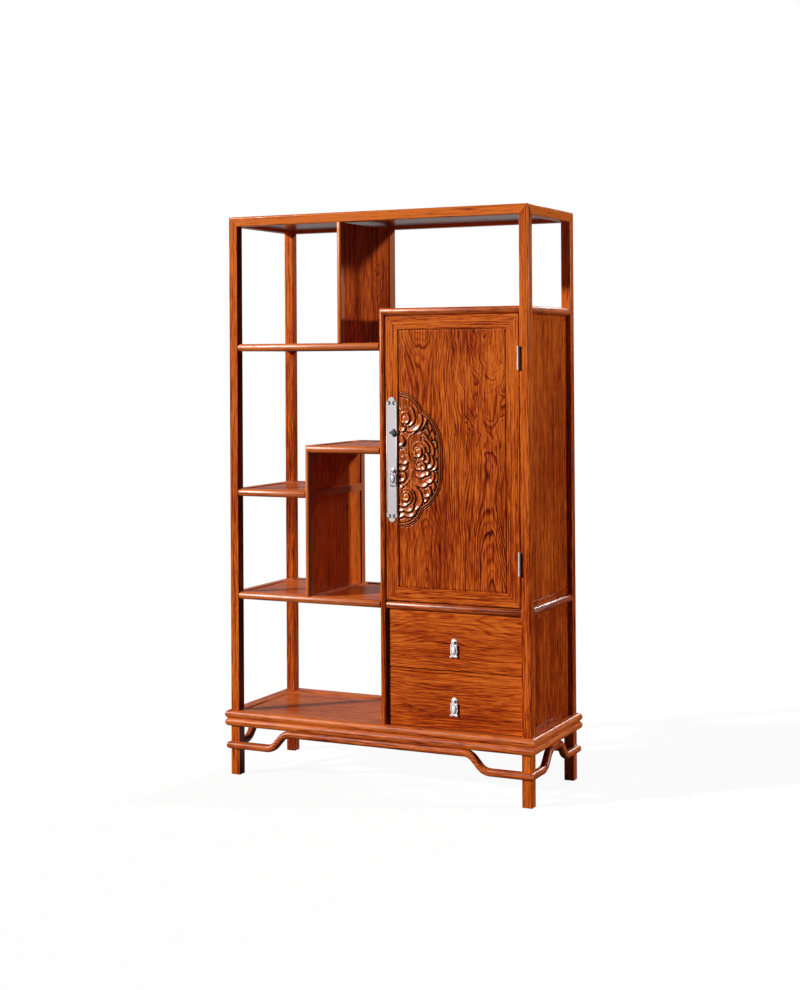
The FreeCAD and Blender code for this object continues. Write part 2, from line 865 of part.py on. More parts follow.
def top_partition():
    bottom = size.high_shelf_level
    length = top_bottom - bottom
    thickness = size.partition_thickness
    front_width = size.top_partition_front_stile
    rear_width = size.top_partition_rear_stile
    bulge = size.partition_bulge
    front = member("top_partition_front_stile", round_faced(front_width, thickness, bulge), length)
    rear = member("top_partition_rear_stile", round_faced(rear_width, thickness, bulge), length)
    place(front, (upper_right, -half_depth, bottom), UP, BACK)
    place(rear, (upper_right, half_depth, top_bottom), DOWN, FRONT)
    node("top_partition_stiles", [front, rear])
    middle = (upper_left + upper_right) / 2
    near = -half_depth + front_width
    far = half_depth - rear_width
    board = size.partition_panel / 2
    single(box("top_partition_panel", (middle - board, near, bottom), (middle + board, far, top_bottom)))


def inner_partition():
    bottom = size.middle_level
    length = size.step_shelf_level - bottom
    thickness = size.partition_thickness
    width = size.inner_partition_stile
    section = round_faced(width, thickness, size.rail_bulge)
    mitre = (size.rail_height, thickness)
    front = member("inner_partition_front_stile", section, length, None, mitre, (False, True))
    rear = member("inner_partition_rear_stile", section, length, None, mitre, (True, False))
    place(front, (inner_right, -half_depth, bottom), UP, BACK)
    place(rear, (inner_right, half_depth, size.step_shelf_level), DOWN, FRONT)
    rail = box(
        "inner_partition_rail",
        (inner_left, -half_depth + width, low_shelf_bottom),
        (inner_right, half_depth - width, size.low_shelf_level),
    )
    node("inner_partition_frame", [front, rear, rail])
    middle = (inner_left + inner_right) / 2
    board = size.partition_panel / 2
    panels = []
    spans = (
        ("lower", bottom, low_shelf_bottom),
        ("upper", size.low_shelf_level, step_shelf_bottom),
    )
    for name, low, high in spans:
        low_corner = (middle - board, -half_depth + width, low)
        high_corner = (middle + board, half_depth - width, high)
        panels.append(box("inner_partition_panel_" + name, low_corner, high_corner))
    node("inner_partition_panels", panels)


# The cupboard's carcass

def cupboard_top():
    label = "cupboard_top_frame"
    mitre = (size.rail_height, size.rail_height)
    rails = long_rails(label, centre_left, bay_side, cupboard_bottom, mitre, "left")
    rails.append(right_rail(label, cupboard_bottom))
    rails.append(square_rail(label + "_left", centre_left, centre_right, cupboard_bottom, False, True))
    node(label, rails)
    single(shelf_panel("cupboard_top_panel", centre_right, bay_side, size.cupboard_level))


def middle_board():
    label = "middle_board_frame"
    rails = long_rails(label, centre_right, bay_side, middle_bottom)
    rails.append(right_rail(label, middle_bottom))
    node(label, rails)
    single(shelf_panel("middle_board_panel", centre_right, bay_side, size.middle_level))


def raised_panel(label, low, high):
    """A side panel: a board with a raised field inside its margin."""
    margin = size.field_margin
    board = box(label + "_board", (side_inside, -bay_depth, low), (side_outside, bay_depth, high))
    origin = (side_outside, bay_depth - margin, low + margin)
    width = (bay_depth - margin) * 2
    height = high - low - margin * 2
    name = label + "_field"
    field = bevelled_field(name, origin, FRONT, RIGHT, width, size.field_raise, height)
    return fuse(label, [board, field])


def side_panels():
    upper = raised_panel("right_side_panel_upper", size.middle_level, cupboard_bottom)
    lower = raised_panel("right_side_panel_lower", floor_level, middle_bottom)
    node("right_side_panels", [upper, lower])
    floor_top = floor_level - size.panel_recess
    rail_top = floor_level + size.rail_height
    rail = box(
        "left_side_base_rail",
        (centre_left, -bay_depth, floor_top),
        (centre_right, bay_depth, rail_top),
    )
    spans = (
        ("low", rail_top, middle_bottom),
        ("middle", size.middle_level, step_shelf_bottom),
        ("high", size.step_shelf_level, high_shelf_bottom),
        ("top", size.high_shelf_level, cupboard_bottom),
    )
    boards = [rail]
    for name, low, high in spans:
        low_corner = (left_panel_near, -bay_depth, low)
        high_corner = (left_panel_far, bay_depth, high)
        boards.append(box("left_side_panel_" + name, low_corner, high_corner))
    node("left_side_panels", boards)


def back_panels():
    near = back_outside - size.side_panel_thickness
    boards = []
    for name, low, high in (
        ("upper", size.middle_level, cupboard_bottom),
        ("lower", floor_level, middle_bottom),
    ):
        low_corner = (centre_right, near, low)
        high_corner = (bay_side, back_outside, high)
        boards.append(box("back_panel_" + name, low_corner, high_corner))
    node("back_panels", boards)


def inner_shelves():
    opening = cupboard_bottom - size.middle_level
    gap = size.inner_shelf_clearance
    boards = []
    cleats = []
    for name, share in (("lower", LOWER_INNER_SHELF_SHARE), ("upper", UPPER_INNER_SHELF_SHARE)):
        bottom = size.middle_level + opening * share
        front = -bay_depth + size.inner_shelf_setback
        low_corner = (left_panel_far + gap, front, bottom)
        high_corner = (side_inside - gap, bay_depth, bottom + size.inner_shelf_thickness)
        boards.append(box("inner_shelf_" + name, low_corner, high_corner))
        for side, left in (("left", left_panel_far), ("right", side_inside - size.cleat_size)):
            low_corner = (left, -bay_depth, bottom - size.cleat_size)
            high_corner = (left + size.cleat_size, bay_depth, bottom)
            cleats.append(box("cleat_%s_%s" % (name, side), low_corner, high_corner))
    node("inner_shelves", boards)
    node("shelf_cleats", cleats)


# The door

door_left = centre_right + size.door_gap
door_right = bay_side - size.door_hinge_gap
door_low = size.middle_level + size.door_hinge_gap
door_high = cupboard_bottom - size.door_gap
door_face = -half_depth + size.door_recess
door_back = door_face + size.door_thickness
panel_face = door_face + size.door_panel_recess
hinge_x = bay_side - size.door_hinge_gap / 2
hinge_y = -half_depth - size.hinge_radius


def door_section():
    """A door member's section; its groove opens at the inner edge."""
    groove_near = size.door_panel_recess + (size.door_panel_thickness - size.door_tongue_thickness) / 2
    groove_far = groove_near + size.door_tongue_thickness
    return [
        (0, 0),
        (groove_near, 0),
        (groove_near, size.door_groove_depth),
        (groove_far, size.door_groove_depth),
        (groove_far, 0),
        (size.door_thickness, 0),
        (size.door_thickness, size.door_frame_width),
        (0, size.door_frame_width),
    ]


def door_frame():
    width = size.door_frame_width
    tall = door_high - door_low
    wide = door_right - door_left
    sides = (
        ("top_rail", (door_left, door_face, door_high - width), RIGHT, wide),
        ("hinge_stile", (door_right - width, door_face, door_high), DOWN, tall),
        ("bottom_rail", (door_right, door_face, door_low + width), LEFT, wide),
        ("lock_stile", (door_left + width, door_face, door_low), UP, tall),
    )
    members = []
    for name, origin, along, length in sides:
        piece = member("door_" + name, door_section(), length, None, (width, width))
        members.append(place(piece, origin, along, BACK))
    node("door_frame", members)


def medallion_lobes(name, inset, raise_by):
    """Four discs and the block between the two at the side, all set in by a border."""
    edge = door_left + size.door_frame_width + size.medallion_edge_gap
    middle = door_low + size.medallion_centre_height
    start = panel_face - raise_by
    depth = raise_by * 2
    side_radius = size.medallion_side_lobe - inset
    end_radius = size.medallion_end_lobe - inset
    side_x = edge + size.medallion_side_centre
    low_corner = (edge, start, middle - size.medallion_side_spread)
    high_corner = (side_x + side_radius, start + depth, middle + size.medallion_side_spread)
    lobes = [box(name + "_middle", low_corner, high_corner)]
    for place_name, side in (("upper", 1), ("lower", -1)):
        label = "%s_%s" % (name, place_name)
        centre = (side_x, start, middle + size.medallion_side_spread * side)
        lobes.append(cylinder(label + "_side", centre, BACK, side_radius, depth))
        centre = (edge + size.medallion_end_centre, start, middle + size.medallion_end_spread * side)
        lobes.append(cylinder(label + "_end", centre, BACK, end_radius, depth))
    reach = size.medallion_side_lobe * 2
    low_corner = (edge, start, middle - reach)
    high_corner = (edge + reach, start + depth, middle + reach)
    half = doc.addObject("Part::Common", name + "_half")
    half.Base = fuse(name + "_whole", lobes)
    half.Tool = box(name + "_block", low_corner, high_corner)
    return half


def medallion():
    """Half a cloud medallion that the lock stile cuts off: a border round a higher field."""
    border = medallion_lobes("medallion_border", 0, size.medallion_border_raise)
    field = medallion_lobes("medallion_field", size.medallion_border, size.medallion_raise)
    return [border, field]


def door_panel():
    width = size.door_frame_width
    gap = size.door_panel_gap
    reach = size.door_tongue_length
    field = box(
        "door_panel_field",
        (door_left + width + gap, panel_face, door_low + width + gap),
        (door_right - width - gap, panel_face + size.door_panel_thickness, door_high - width - gap),
    )
    near = panel_face + (size.door_panel_thickness - size.door_tongue_thickness) / 2
    tongue = box(
        "door_panel_tongue",
        (door_left + width - reach, near, door_low + width - reach),
        (door_right - width + reach, near + size.door_tongue_thickness, door_high - width + reach),
    )
    single(fuse("door_panel", [field, tongue] + medallion()))


def door_stop():
    low = (centre_right, door_back + size.running_gap, cupboard_bottom - size.stop_height)
    high = (bay_side, door_back + size.running_gap + size.stop_depth, cupboard_bottom)
    single(box("door_stop", low, high))


# Hinges

def hinge_leaf(label, bottom, on_door):
    """A leaf in the gap beside the door, with its knuckles round the pin."""
    share = size.hinge_height * KNUCKLE_SHARE
    gap = size.knuckle_gap
    spans = [(share + gap, share * 2 - gap)] if on_door else [(0, share), (share * 2, size.hinge_height)]
    half_gap = size.door_hinge_gap / 2
    leaf_left = hinge_x - half_gap if on_door else hinge_x + half_gap - size.hinge_leaf
    leaf_right = leaf_left + size.hinge_leaf
    plate_near = -half_depth + size.hinge_leaf_step
    plate_far = plate_near + size.hinge_leaf_depth
    plate = box(
        label + "_plate",
        (leaf_left, plate_near, bottom),
        (leaf_right, plate_far, bottom + size.hinge_height),
    )
    pieces = [plate]
    bores = []
    for index, (low, high) in enumerate(spans):
        low_level = bottom + low
        length = as_size(high) - low
        start = (hinge_x, hinge_y, low_level)
        pieces.append(cylinder("%s_knuckle_%d" % (label, index), start, UP, size.hinge_radius, length))
        neck_low = (leaf_left, hinge_y, low_level)
        neck_high = (leaf_right, plate_near, low_level + length)
        pieces.append(box("%s_neck_%d" % (label, index), neck_low, neck_high))
    bore_radius = size.hinge_pin_radius + size.hinge_pin_clearance
    bore = cylinder(label + "_bore", (hinge_x, hinge_y, bottom), UP, bore_radius, size.hinge_height)
    return cut(label, fuse(label + "_solid", pieces), bore)


def hinges():
    frame_leaves = []
    door_leaves = []
    pins = []
    for name, bottom in (
        ("lower", door_low + size.hinge_inset),
        ("upper", door_high - size.hinge_inset - size.hinge_height),
    ):
        frame_leaves.append(hinge_leaf("hinge_%s_frame_leaf" % name, bottom, False))
        door_leaves.append(hinge_leaf("hinge_%s_door_leaf" % name, bottom, True))
        foot = (hinge_x, hinge_y, bottom)
        shaft = cylinder("hinge_%s_shaft" % name, foot, UP, size.hinge_pin_radius, size.hinge_height)
        heads = []
        for end, level in (("foot", bottom - size.hinge_pin_head), ("head", bottom + size.hinge_height)):
            label = "hinge_%s_%s" % (name, end)
            start = (hinge_x, hinge_y, level)
            heads.append(cylinder(label, start, UP, size.hinge_radius, size.hinge_pin_head))
        pins.append(fuse("hinge_%s_pin" % name, [shaft] + heads))
    node("hinge_frame_leaves", frame_leaves)
    node("hinge_door_leaves", door_leaves)
    node("hinge_pins", pins)


# Lock plate and pulls

plate_left = door_left + size.lock_plate_inset
plate_middle = door_low + size.medallion_centre_height
plate_face = door_face - size.lock_plate_thickness


def lock_plate():
    half_height = size.lock_plate_height / 2
    lobe = size.lock_lobe_radius
    side_lobe = size.lock_side_lobe_radius
    start_y = plate_face
    depth = size.lock_plate_thickness
    right = plate_left + size.lock_plate_width
    middle_x = plate_left + size.lock_plate_width / 2
    shoulder = half_height - lobe - side_lobe
    blank_low = (plate_left, start_y, plate_middle - shoulder)
    pieces = [box("lock_plate_blank", blank_low, (right, door_face, plate_middle + shoulder))]
    for name, side in (("upper", 1), ("lower", -1)):
        tip = plate_middle + (half_height - lobe) * side
        shoulder_level = plate_middle + shoulder * side
        pieces.append(cylinder("lock_plate_%s_tip" % name, (middle_x, start_y, tip), BACK, lobe, depth))
        for edge, x in (("left", plate_left + side_lobe), ("right", right - side_lobe)):
            label = "lock_plate_%s_%s" % (name, edge)
            pieces.append(cylinder(label, (x, start_y, shoulder_level), BACK, side_lobe, depth))
    single(fuse("lock_plate", pieces))


def lock_staple():
    """The loop that a padlock's bolt passes through."""
    x = plate_left + size.staple_offset
    z = plate_middle + size.staple_drop
    half_width_here = size.staple_width / 2
    half_height = size.staple_height / 2
    foot = box(
        "lock_staple_foot",
        (x - half_width_here, plate_face - size.staple_thickness / 2, z - half_height),
        (x + half_width_here, plate_face, z + half_height),
    )
    loop = box(
        "lock_staple_loop",
        (x - size.staple_thickness / 2, plate_face - size.staple_reach, z - half_height / 2),
        (x + size.staple_thickness / 2, plate_face, z + half_height / 2),
    )
    eye_start = (x - size.staple_width, plate_face - size.staple_reach / 2, z)
    eye_radius = size.staple_reach * STAPLE_EYE_SHARE
    eye = cylinder("lock_staple_eye", eye_start, RIGHT, eye_radius, size.staple_width * 2)
    single(cut("lock_staple", fuse("lock_staple_solid", [foot, loop]), eye))


def pull_mount(label, x, face, z):
    """The disc, two ears and pin that a pendant hangs from."""
    disc = cylinder(
        label + "_disc",
        (x, face - size.pull_disc_thickness, z),
        BACK,
        size.pull_disc_radius,
        size.pull_disc_thickness,
    )
    inner = size.pull_eye_width / 2 + size.pull_side_gap
    outer = inner + size.pull_ear_thickness
    pieces = [disc]
    for side, low, high in (("left", x - outer, x - inner), ("right", x + inner, x + outer)):
        pieces.append(
            box(
                "%s_ear_%s" % (label, side),
                (low, face - size.pull_ear_reach, z - size.pull_ear_height / 2),
                (high, face, z + size.pull_ear_height / 2),
            )
        )
    pin_start = (x - outer, face - size.pull_pivot_reach, z)
    pieces.append(cylinder(label + "_pin", pin_start, RIGHT, size.pull_pin_radius, outer * 2))
    return single(fuse(label, pieces))


def pendant(label, x, face, z):
    """A hanging vase-shaped plate with an eye that turns on the mount's pin."""
    drop = size.pendant_drop
    half = size.pendant_width / 2
    widths = [size.pull_eye_width / 2] + [half] * (len(PENDANT_SHARES) - 1)
    right = [(wide * u, -(drop * v), -(half * w)) for wide, (u, v, w) in zip(widths, PENDANT_SHARES)]
    left = []
    for index in range(len(PENDANT_SHARES) - 1, -1, -1):
        u, v, _ = PENDANT_SHARES[index]
        swell = PENDANT_SHARES[index - 1][2] if index else 0
        left.append((-(widths[index] * u), -(drop * v), -(half * swell)))
    body = new_body(label + "_plate")
    sketch = outline(body, "XZ_Plane", right + left)
    pad(body, sketch, size.pendant_thickness, True)
    pivot_y = face - size.pull_pivot_reach
    place(body, (x, pivot_y - size.pendant_thickness / 2, z))
    eye_start = (x - size.pull_eye_width / 2, pivot_y, z)
    eye = cylinder(label + "_eye", eye_start, RIGHT, size.pull_eye_radius, size.pull_eye_width)
    half_neck = widths[0] * PENDANT_SHARES[0][0]
    half_thickness = size.pendant_thickness / 2
    neck = box(
        label + "_neck",
        (x - half_neck, pivot_y - half_thickness, z - drop * PENDANT_SHARES[1][1]),
        (x + half_neck, pivot_y + half_thickness, z),
    )
    bore_radius = size.pull_pin_radius + size.pull_pin_clearance
    bore = cylinder(label + "_bore", eye_start, RIGHT, bore_radius, size.pull_eye_width)
    return single(cut(label, fuse(label + "_solid", [body, eye, neck]), bore))


# Drawers

drawer_left = centre_right + size.drawer_side_gap
drawer_right = bay_side - size.drawer_side_gap
drawer_face = -half_depth + size.drawer_recess
drawer_inside = drawer_face + size.drawer_front_thickness
drawer_room = middle_bottom - floor_level
drawer_height = (drawer_room - size.drawer_edge_gap * 2 - size.drawer_gap) / 2


def drawer(label, bottom):
    """A drawer's front, its box of two sides and a back, its bottom board and its pull."""
    top_edge = bottom + drawer_height
    single(
        box(label + "_front", (drawer_left, drawer_face, bottom), (drawer_right, drawer_inside, top_edge))
    )
    board = size.drawer_board
    left = drawer_left + size.drawer_side_inset
    right = drawer_right - size.drawer_side_inset
    low = bottom + size.drawer_side_lift
    high = top_edge - size.drawer_side_headroom
    rear = back_outside - size.side_panel_thickness - size.drawer_back_room
    groove_low = low + size.drawer_bottom_lift
    groove_high = groove_low + size.drawer_bottom_thickness
    tongue = size.drawer_bottom_tongue
    inner_left_x = left + board
    inner_right_x = right - board
    bottom_board_low = (inner_left_x - tongue, drawer_inside, groove_low)
    bottom_board_high = (inner_right_x + tongue, rear - board + tongue, groove_high)
    pieces = [box(label + "_bottom", bottom_board_low, bottom_board_high)]
    for name, near, far in (("left", left, inner_left_x), ("right", inner_right_x, right)):
        side = box("%s_side_%s" % (label, name), (near, drawer_inside, low), (far, rear, high))
        slot = box("%s_slot_%s" % (label, name), bottom_board_low, bottom_board_high)
        pieces.append(cut("%s_cut_%s" % (label, name), side, slot))
    back = box(label + "_back", (inner_left_x, rear - board, low), (inner_right_x, rear, high))
    slot = box(label + "_slot_back", bottom_board_low, bottom_board_high)
    pieces.append(cut(label + "_cut_back", back, slot))
    node(label + "_box", pieces)
    middle_x = (drawer_left + drawer_right) / 2
    middle_z = (bottom + top_edge) / 2
    pull_mount(label + "_pull_mount", middle_x, drawer_face, middle_z)
    pendant(label + "_pendant", middle_x, drawer_face, middle_z)


def drawers():
    lower = floor_level + size.drawer_edge_gap
    upper = lower + drawer_height + size.drawer_gap
    drawer("lower_drawer", lower)
    drawer("upper_drawer", upper)
    runners = []
    left_reach = drawer_left + size.drawer_side_inset + size.drawer_board
    right_reach = drawer_right - size.drawer_side_inset - size.drawer_board
    floor_top = floor_level - size.panel_recess
    for name, bottom in (("lower", lower), ("upper", upper)):
        top_edge = bottom + size.drawer_side_lift - size.running_gap
        stands_on_floor = name == "lower"
        low = floor_top if stands_on_floor else top_edge - size.runner_height
        left = centre_right if stands_on_floor else left_panel_far
        right = bay_side if stands_on_floor else side_inside
        for side, near, far in (("left", left, left_reach), ("right", right_reach, right)):
            low_corner = (near, -bay_depth, low)
            high_corner = (far, bay_depth, top_edge)
            runners.append(box("runner_%s_%s" % (name, side), low_corner, high_corner))
    node("drawer_runners", runners)


def door_hardware():
    lock_plate()
    lock_staple()
    x = plate_left + size.door_pull_offset
    z = door_low + size.medallion_centre_height + size.lock_plate_height / 2 - size.door_pull_drop
    pull_mount("door_pull_mount", x, plate_face, z)
    pendant("door_pull_pendant", x, plate_face, z)


legs()
stretchers()
base()
posts()
top()
centre_posts()
high_shelf()
step_shelf()
low_shelf()
middle_shelf()
top_partition()
inner_partition()
cupboard_top()
middle_board()
side_panels()
back_panels()
inner_shelves()
door_frame()
door_panel()
door_stop()
hinges()
door_hardware()
drawers()
doc.recompute()


# Checks and files

def check_objects():
    for thing in doc.Objects:
        if "Invalid" in thing.State or "Error" in thing.State:
            raise RuntimeError("%s did not recompute: %s" % (thing.Label, thing.State))
    for thing in nodes:
        shape = thing.Shape
        if shape.isNull() or not shape.isValid() or not shape.Solids:
            raise RuntimeError("%s has no valid shape" % thing.Label)


check_objects()
os.makedirs("parts", exist_ok=True)
for thing in nodes:
    thing.Shape.exportStep("parts/" + thing.Label + ".step")
print("nodes:", len(nodes), "solids:", sum(len(thing.Shape.Solids) for thing in nodes))
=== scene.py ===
import math
import bmesh
import bpy
import numpy as np
from mathutils import Matrix, Vector
from mathutils.geometry import tessellate_polygon

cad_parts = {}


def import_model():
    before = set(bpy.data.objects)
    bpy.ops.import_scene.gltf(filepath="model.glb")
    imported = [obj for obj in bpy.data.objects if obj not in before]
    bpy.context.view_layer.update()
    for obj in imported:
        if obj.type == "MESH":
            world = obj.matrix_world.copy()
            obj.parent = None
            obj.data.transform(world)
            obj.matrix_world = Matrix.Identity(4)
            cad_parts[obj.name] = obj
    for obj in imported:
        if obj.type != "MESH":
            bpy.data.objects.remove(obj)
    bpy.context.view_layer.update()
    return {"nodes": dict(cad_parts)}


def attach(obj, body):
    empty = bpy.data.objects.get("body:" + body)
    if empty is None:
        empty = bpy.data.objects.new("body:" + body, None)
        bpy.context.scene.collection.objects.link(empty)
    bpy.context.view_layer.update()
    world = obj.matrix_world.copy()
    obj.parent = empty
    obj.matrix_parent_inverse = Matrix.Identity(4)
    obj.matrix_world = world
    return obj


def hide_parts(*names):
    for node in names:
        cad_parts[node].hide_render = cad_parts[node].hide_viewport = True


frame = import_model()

MM = 0.001


# Node helpers

class Graph:
    """Builds a material's nodes with short calls; a value may be a number, a colour or a socket."""

    def __init__(self, tree):
        self.nodes = tree.nodes
        self.links = tree.links

    def add(self, kind, **settings):
        item = self.nodes.new(kind)
        for name, value in settings.items():
            setattr(item, name, value)
        return item

    def put(self, socket, value):
        if value is None:
            return
        if isinstance(value, bpy.types.NodeSocket):
            self.links.new(value, socket)
        else:
            socket.default_value = value

    def feed(self, item, values):
        """Sets or links inputs by their names."""
        for name, value in values.items():
            self.put(item.inputs[name], value)

    def math(self, operation, first, second=None, third=None, clamp=False):
        item = self.add("ShaderNodeMath", operation=operation, use_clamp=clamp)
        for socket, value in zip(item.inputs, (first, second, third)):
            self.put(socket, value)
        return item.outputs[0]

    def plus(self, first, second):
        return self.math("ADD", first, second)

    def minus(self, first, second):
        return self.math("SUBTRACT", first, second)

    def times(self, first, second):
        return self.math("MULTIPLY", first, second)

    def times_plus(self, first, second, third):
        return self.math("MULTIPLY_ADD", first, second, third)

    def combine(self, x, y, z):
        item = self.add("ShaderNodeCombineXYZ")
        for socket, value in zip(item.inputs, (x, y, z)):
            self.put(socket, value)
        return item.outputs[0]

    def separate(self, vector):
        item = self.add("ShaderNodeSeparateXYZ")
        self.put(item.inputs[0], vector)
        return tuple(item.outputs)

    def scaled(self, vector, factors, shift=(0.0, 0.0, 0.0)):
        item = self.add("ShaderNodeMapping")
        self.feed(item, {"Vector": vector, "Scale": factors, "Location": shift})
        return item.outputs[0]

    def noise(self, vector, detail=2.0, roughness=0.5, distortion=0.0):
        item = self.add("ShaderNodeTexNoise")
        self.feed(item, {
            "Vector": vector, "Scale": 1.0, "Detail": detail, "Roughness": roughness,
            "Distortion": distortion,
        })
        return item.outputs[0]

    def smooth(self, value, low, high, out_low=0.0, out_high=1.0):
        """A soft step from one output to the other between two values."""
        item = self.add("ShaderNodeMapRange", interpolation_type="SMOOTHSTEP")
        for socket, number in zip(item.inputs, (value, low, high, out_low, out_high)):
            self.put(socket, number)
        return item.outputs[0]

    def ramp(self, value, stops):
        item = self.add("ShaderNodeValToRGB")
        self.put(item.inputs[0], value)
        elements = item.color_ramp.elements
        while len(elements) < len(stops):
            elements.new(1.0)
        for element, (place, colour) in zip(elements, stops):
            element.position = place
            element.color = (*colour, 1.0)
        return item.outputs[0]

    # A mix node has vectors at inputs 4, 5 and output 1, and colours at inputs 6, 7 and output 2.
    def mix_vector(self, factor, first, second):
        item = self.add("ShaderNodeMix", data_type="VECTOR")
        self.put(item.inputs["Factor"], factor)
        self.put(item.inputs[4], first)
        self.put(item.inputs[5], second)
        return item.outputs[1]

    def mix_colour(self, factor, first, second):
        item = self.add("ShaderNodeMix", data_type="RGBA")
        self.put(item.inputs["Factor"], factor)
        for socket, value in ((item.inputs[6], first), (item.inputs[7], second)):
            if isinstance(value, tuple):
                value = (*value, 1.0)
            self.put(socket, value)
        return item.outputs[2]

    def bump(self, height, distance, strength):
        item = self.add("ShaderNodeBump")
        self.feed(item, {"Height": height, "Distance": distance, "Strength": strength})
        return item.outputs[0]


# Wood

WHITE = (1.0, 1.0, 1.0, 1.0)

# The carcass in metres: half its width and depth, the base moulding's reach past it, the width of
# the rails along a shelf's front and back, the door's outline, and a joint line's width.
HALF_WIDTH = 0.580
HALF_DEPTH = 0.215
BASE_REACH = 0.016
RAIL_WIDTH = 0.0352
DOOR = {"left": 0.0485, "right": 0.541, "low": 0.6585, "high": 1.633}
JOINT_LINE = 0.0006

# Straight figure: the spacing of the growth rings and how far they drift sideways.
RING_SPACING = 0.0065
RING_DRIFT = 0.040

# Flat-cut boards: the rings' spacing, the heart line's drift, the rings' small waves, how much
# closer they lie across a board, the depth it is cut at, and how softly its arches are rounded.
BOARD_SPACING = 0.0105
HEART_DRIFT = 0.10
BOARD_WAVES = 0.036
BOARD_SQUEEZE = 1.4
BOARD_DEPTH = 0.10
ARCH_MEETING = 0.05
ARCH_FLATTENING = 0.06
HEART_ROUNDING = 0.00002

# Figure: how far the rings wander, where the late wood starts and ends within a ring, the mean
# tone, and how strongly broad streaks, patches and pores change it.
RING_WANDER = 2.4
LATE_START, LATE_END = 0.35, 0.86
MEAN_TONE = 0.74
BROAD_SHARE = 1.00
PATCH_SHARE = 0.80
PORE_SHARE = -0.30
WOOD_TONES = (
    (0.00, (0.060, 0.0035, 0.0008)),
    (0.22, (0.155, 0.0115, 0.0014)),
    (0.45, (0.305, 0.0320, 0.0024)),
    (0.66, (0.450, 0.0640, 0.0046)),
    (1.00, (0.720, 0.1600, 0.0180)),
)
LINE_COLOUR = (0.020, 0.0040, 0.0016)

# Painted light: the wood is painted paler higher up, where more light falls: its tone at the foot,
# the rise, and from where to where. Then where panels lose their painted darker foot, and how far
# a seed shifts the figure.
TONE_AT_FOOT = -0.03
RISING_TONE = 0.22
RISE_LOW, RISE_HIGH = 0.9, 2.0
FOOT_BAND = (0.60, 0.70)
SEED_STEP = 0.73
PALE_WOOD = (0.62, 0.33, 0.13)
COMMON_LOOK = {
    "gloss": 0.22, "haze": 0.0, "contrast": 0.44, "streaks": 2.4, "sheen": (1.0, 0.88, 0.80, 1.0),
    "painted_foot_shade": 0.0,
}


def grain_vector(g, point, way):
    """The point with its grain direction first, and the darkness of the joint line beside it."""
    x, y, z = g.separate(point)
    along_x = g.combine(x, y, z)
    along_y = g.combine(y, x, z)
    along_z = g.combine(z, x, y)
    plain = {"x": along_x, "y": along_y, "z": along_z}
    if way in plain:
        return plain[way], None
    if way in ("top_ring", "base_ring"):
        reach = BASE_REACH if way == "base_ring" else 0.0
        long_side = g.minus(HALF_DEPTH + reach, g.math("ABSOLUTE", y))
        short_side = g.minus(HALF_WIDTH + reach, g.math("ABSOLUTE", x))
        first, second, across = along_x, along_y, g.minus(short_side, long_side)
    elif way == "door_ring":
        left = g.minus(x, DOOR["left"])
        right = g.minus(DOOR["right"], x)
        low = g.minus(z, DOOR["low"])
        high = g.minus(DOOR["high"], z)
        upright = g.math("MINIMUM", left, right)
        level = g.math("MINIMUM", low, high)
        first, second, across = along_x, along_z, g.minus(upright, level)
    elif way in ("shelf", "partition"):
        first, second = (along_x if way == "shelf" else along_z), along_y
        across = g.minus(g.math("ABSOLUTE", y), HALF_DEPTH - RAIL_WIDTH)
    is_first = g.math("GREATER_THAN", across, 0.0)
    line = g.smooth(g.math("ABSOLUTE", across), JOINT_LINE * 0.4, JOINT_LINE, 1.0, 0.0)
    return g.mix_vector(is_first, second, first), line


def straight_rings(g, grain, seed):
    """Growth rings seen edge on: nearly straight lines along the grain, unevenly spaced."""
    drift = g.noise(g.scaled(grain, (1.2, 7.0, 7.0), (seed, 0.0, seed)))
    _, a, b = g.separate(grain)
    across = g.plus(g.times(a, 0.8), g.times(b, 0.6))
    across = g.times_plus(drift, RING_DRIFT, across)
    return g.math("DIVIDE", across, RING_SPACING)


def board_rings(g, grain, seed, boards, across):
    """Growth rings of flat-cut boards: nested arches about each board's heart line."""
    wander = g.noise(g.scaled(grain, (5.0, 11.0, 11.0), (seed, seed, 0.0)))
    slow = g.noise(g.scaled(grain, (2.4, 1.5, 1.5), (0.0, seed, seed)), 1.0)
    u, a, b = g.separate(grain)
    wide = b if across else a
    whole = None
    for edge, place, top, fall, foot, rise in boards:
        gap = g.times_plus(slow, HEART_DRIFT, wide)
        gap = g.minus(gap, place + HEART_DRIFT / 2)
        gap = g.times(gap, BOARD_SQUEEZE)
        down = g.times(g.minus(top, u), fall)
        up = g.times(g.minus(u, foot), rise)
        depth = g.math("SMOOTH_MIN", down, up, ARCH_MEETING)
        depth = g.math("SMOOTH_MIN", depth, BOARD_DEPTH, ARCH_FLATTENING)
        square = g.times_plus(gap, gap, g.times(depth, depth))
        rings = g.math("SQRT", g.plus(square, HEART_ROUNDING))
        if whole is None:
            whole = rings
        else:
            beyond = g.math("GREATER_THAN", wide, edge)
            step = g.times(g.minus(rings, whole), beyond)
            whole = g.plus(whole, step)
    whole = g.times_plus(wander, BOARD_WAVES, whole)
    return g.math("DIVIDE", whole, BOARD_SPACING)


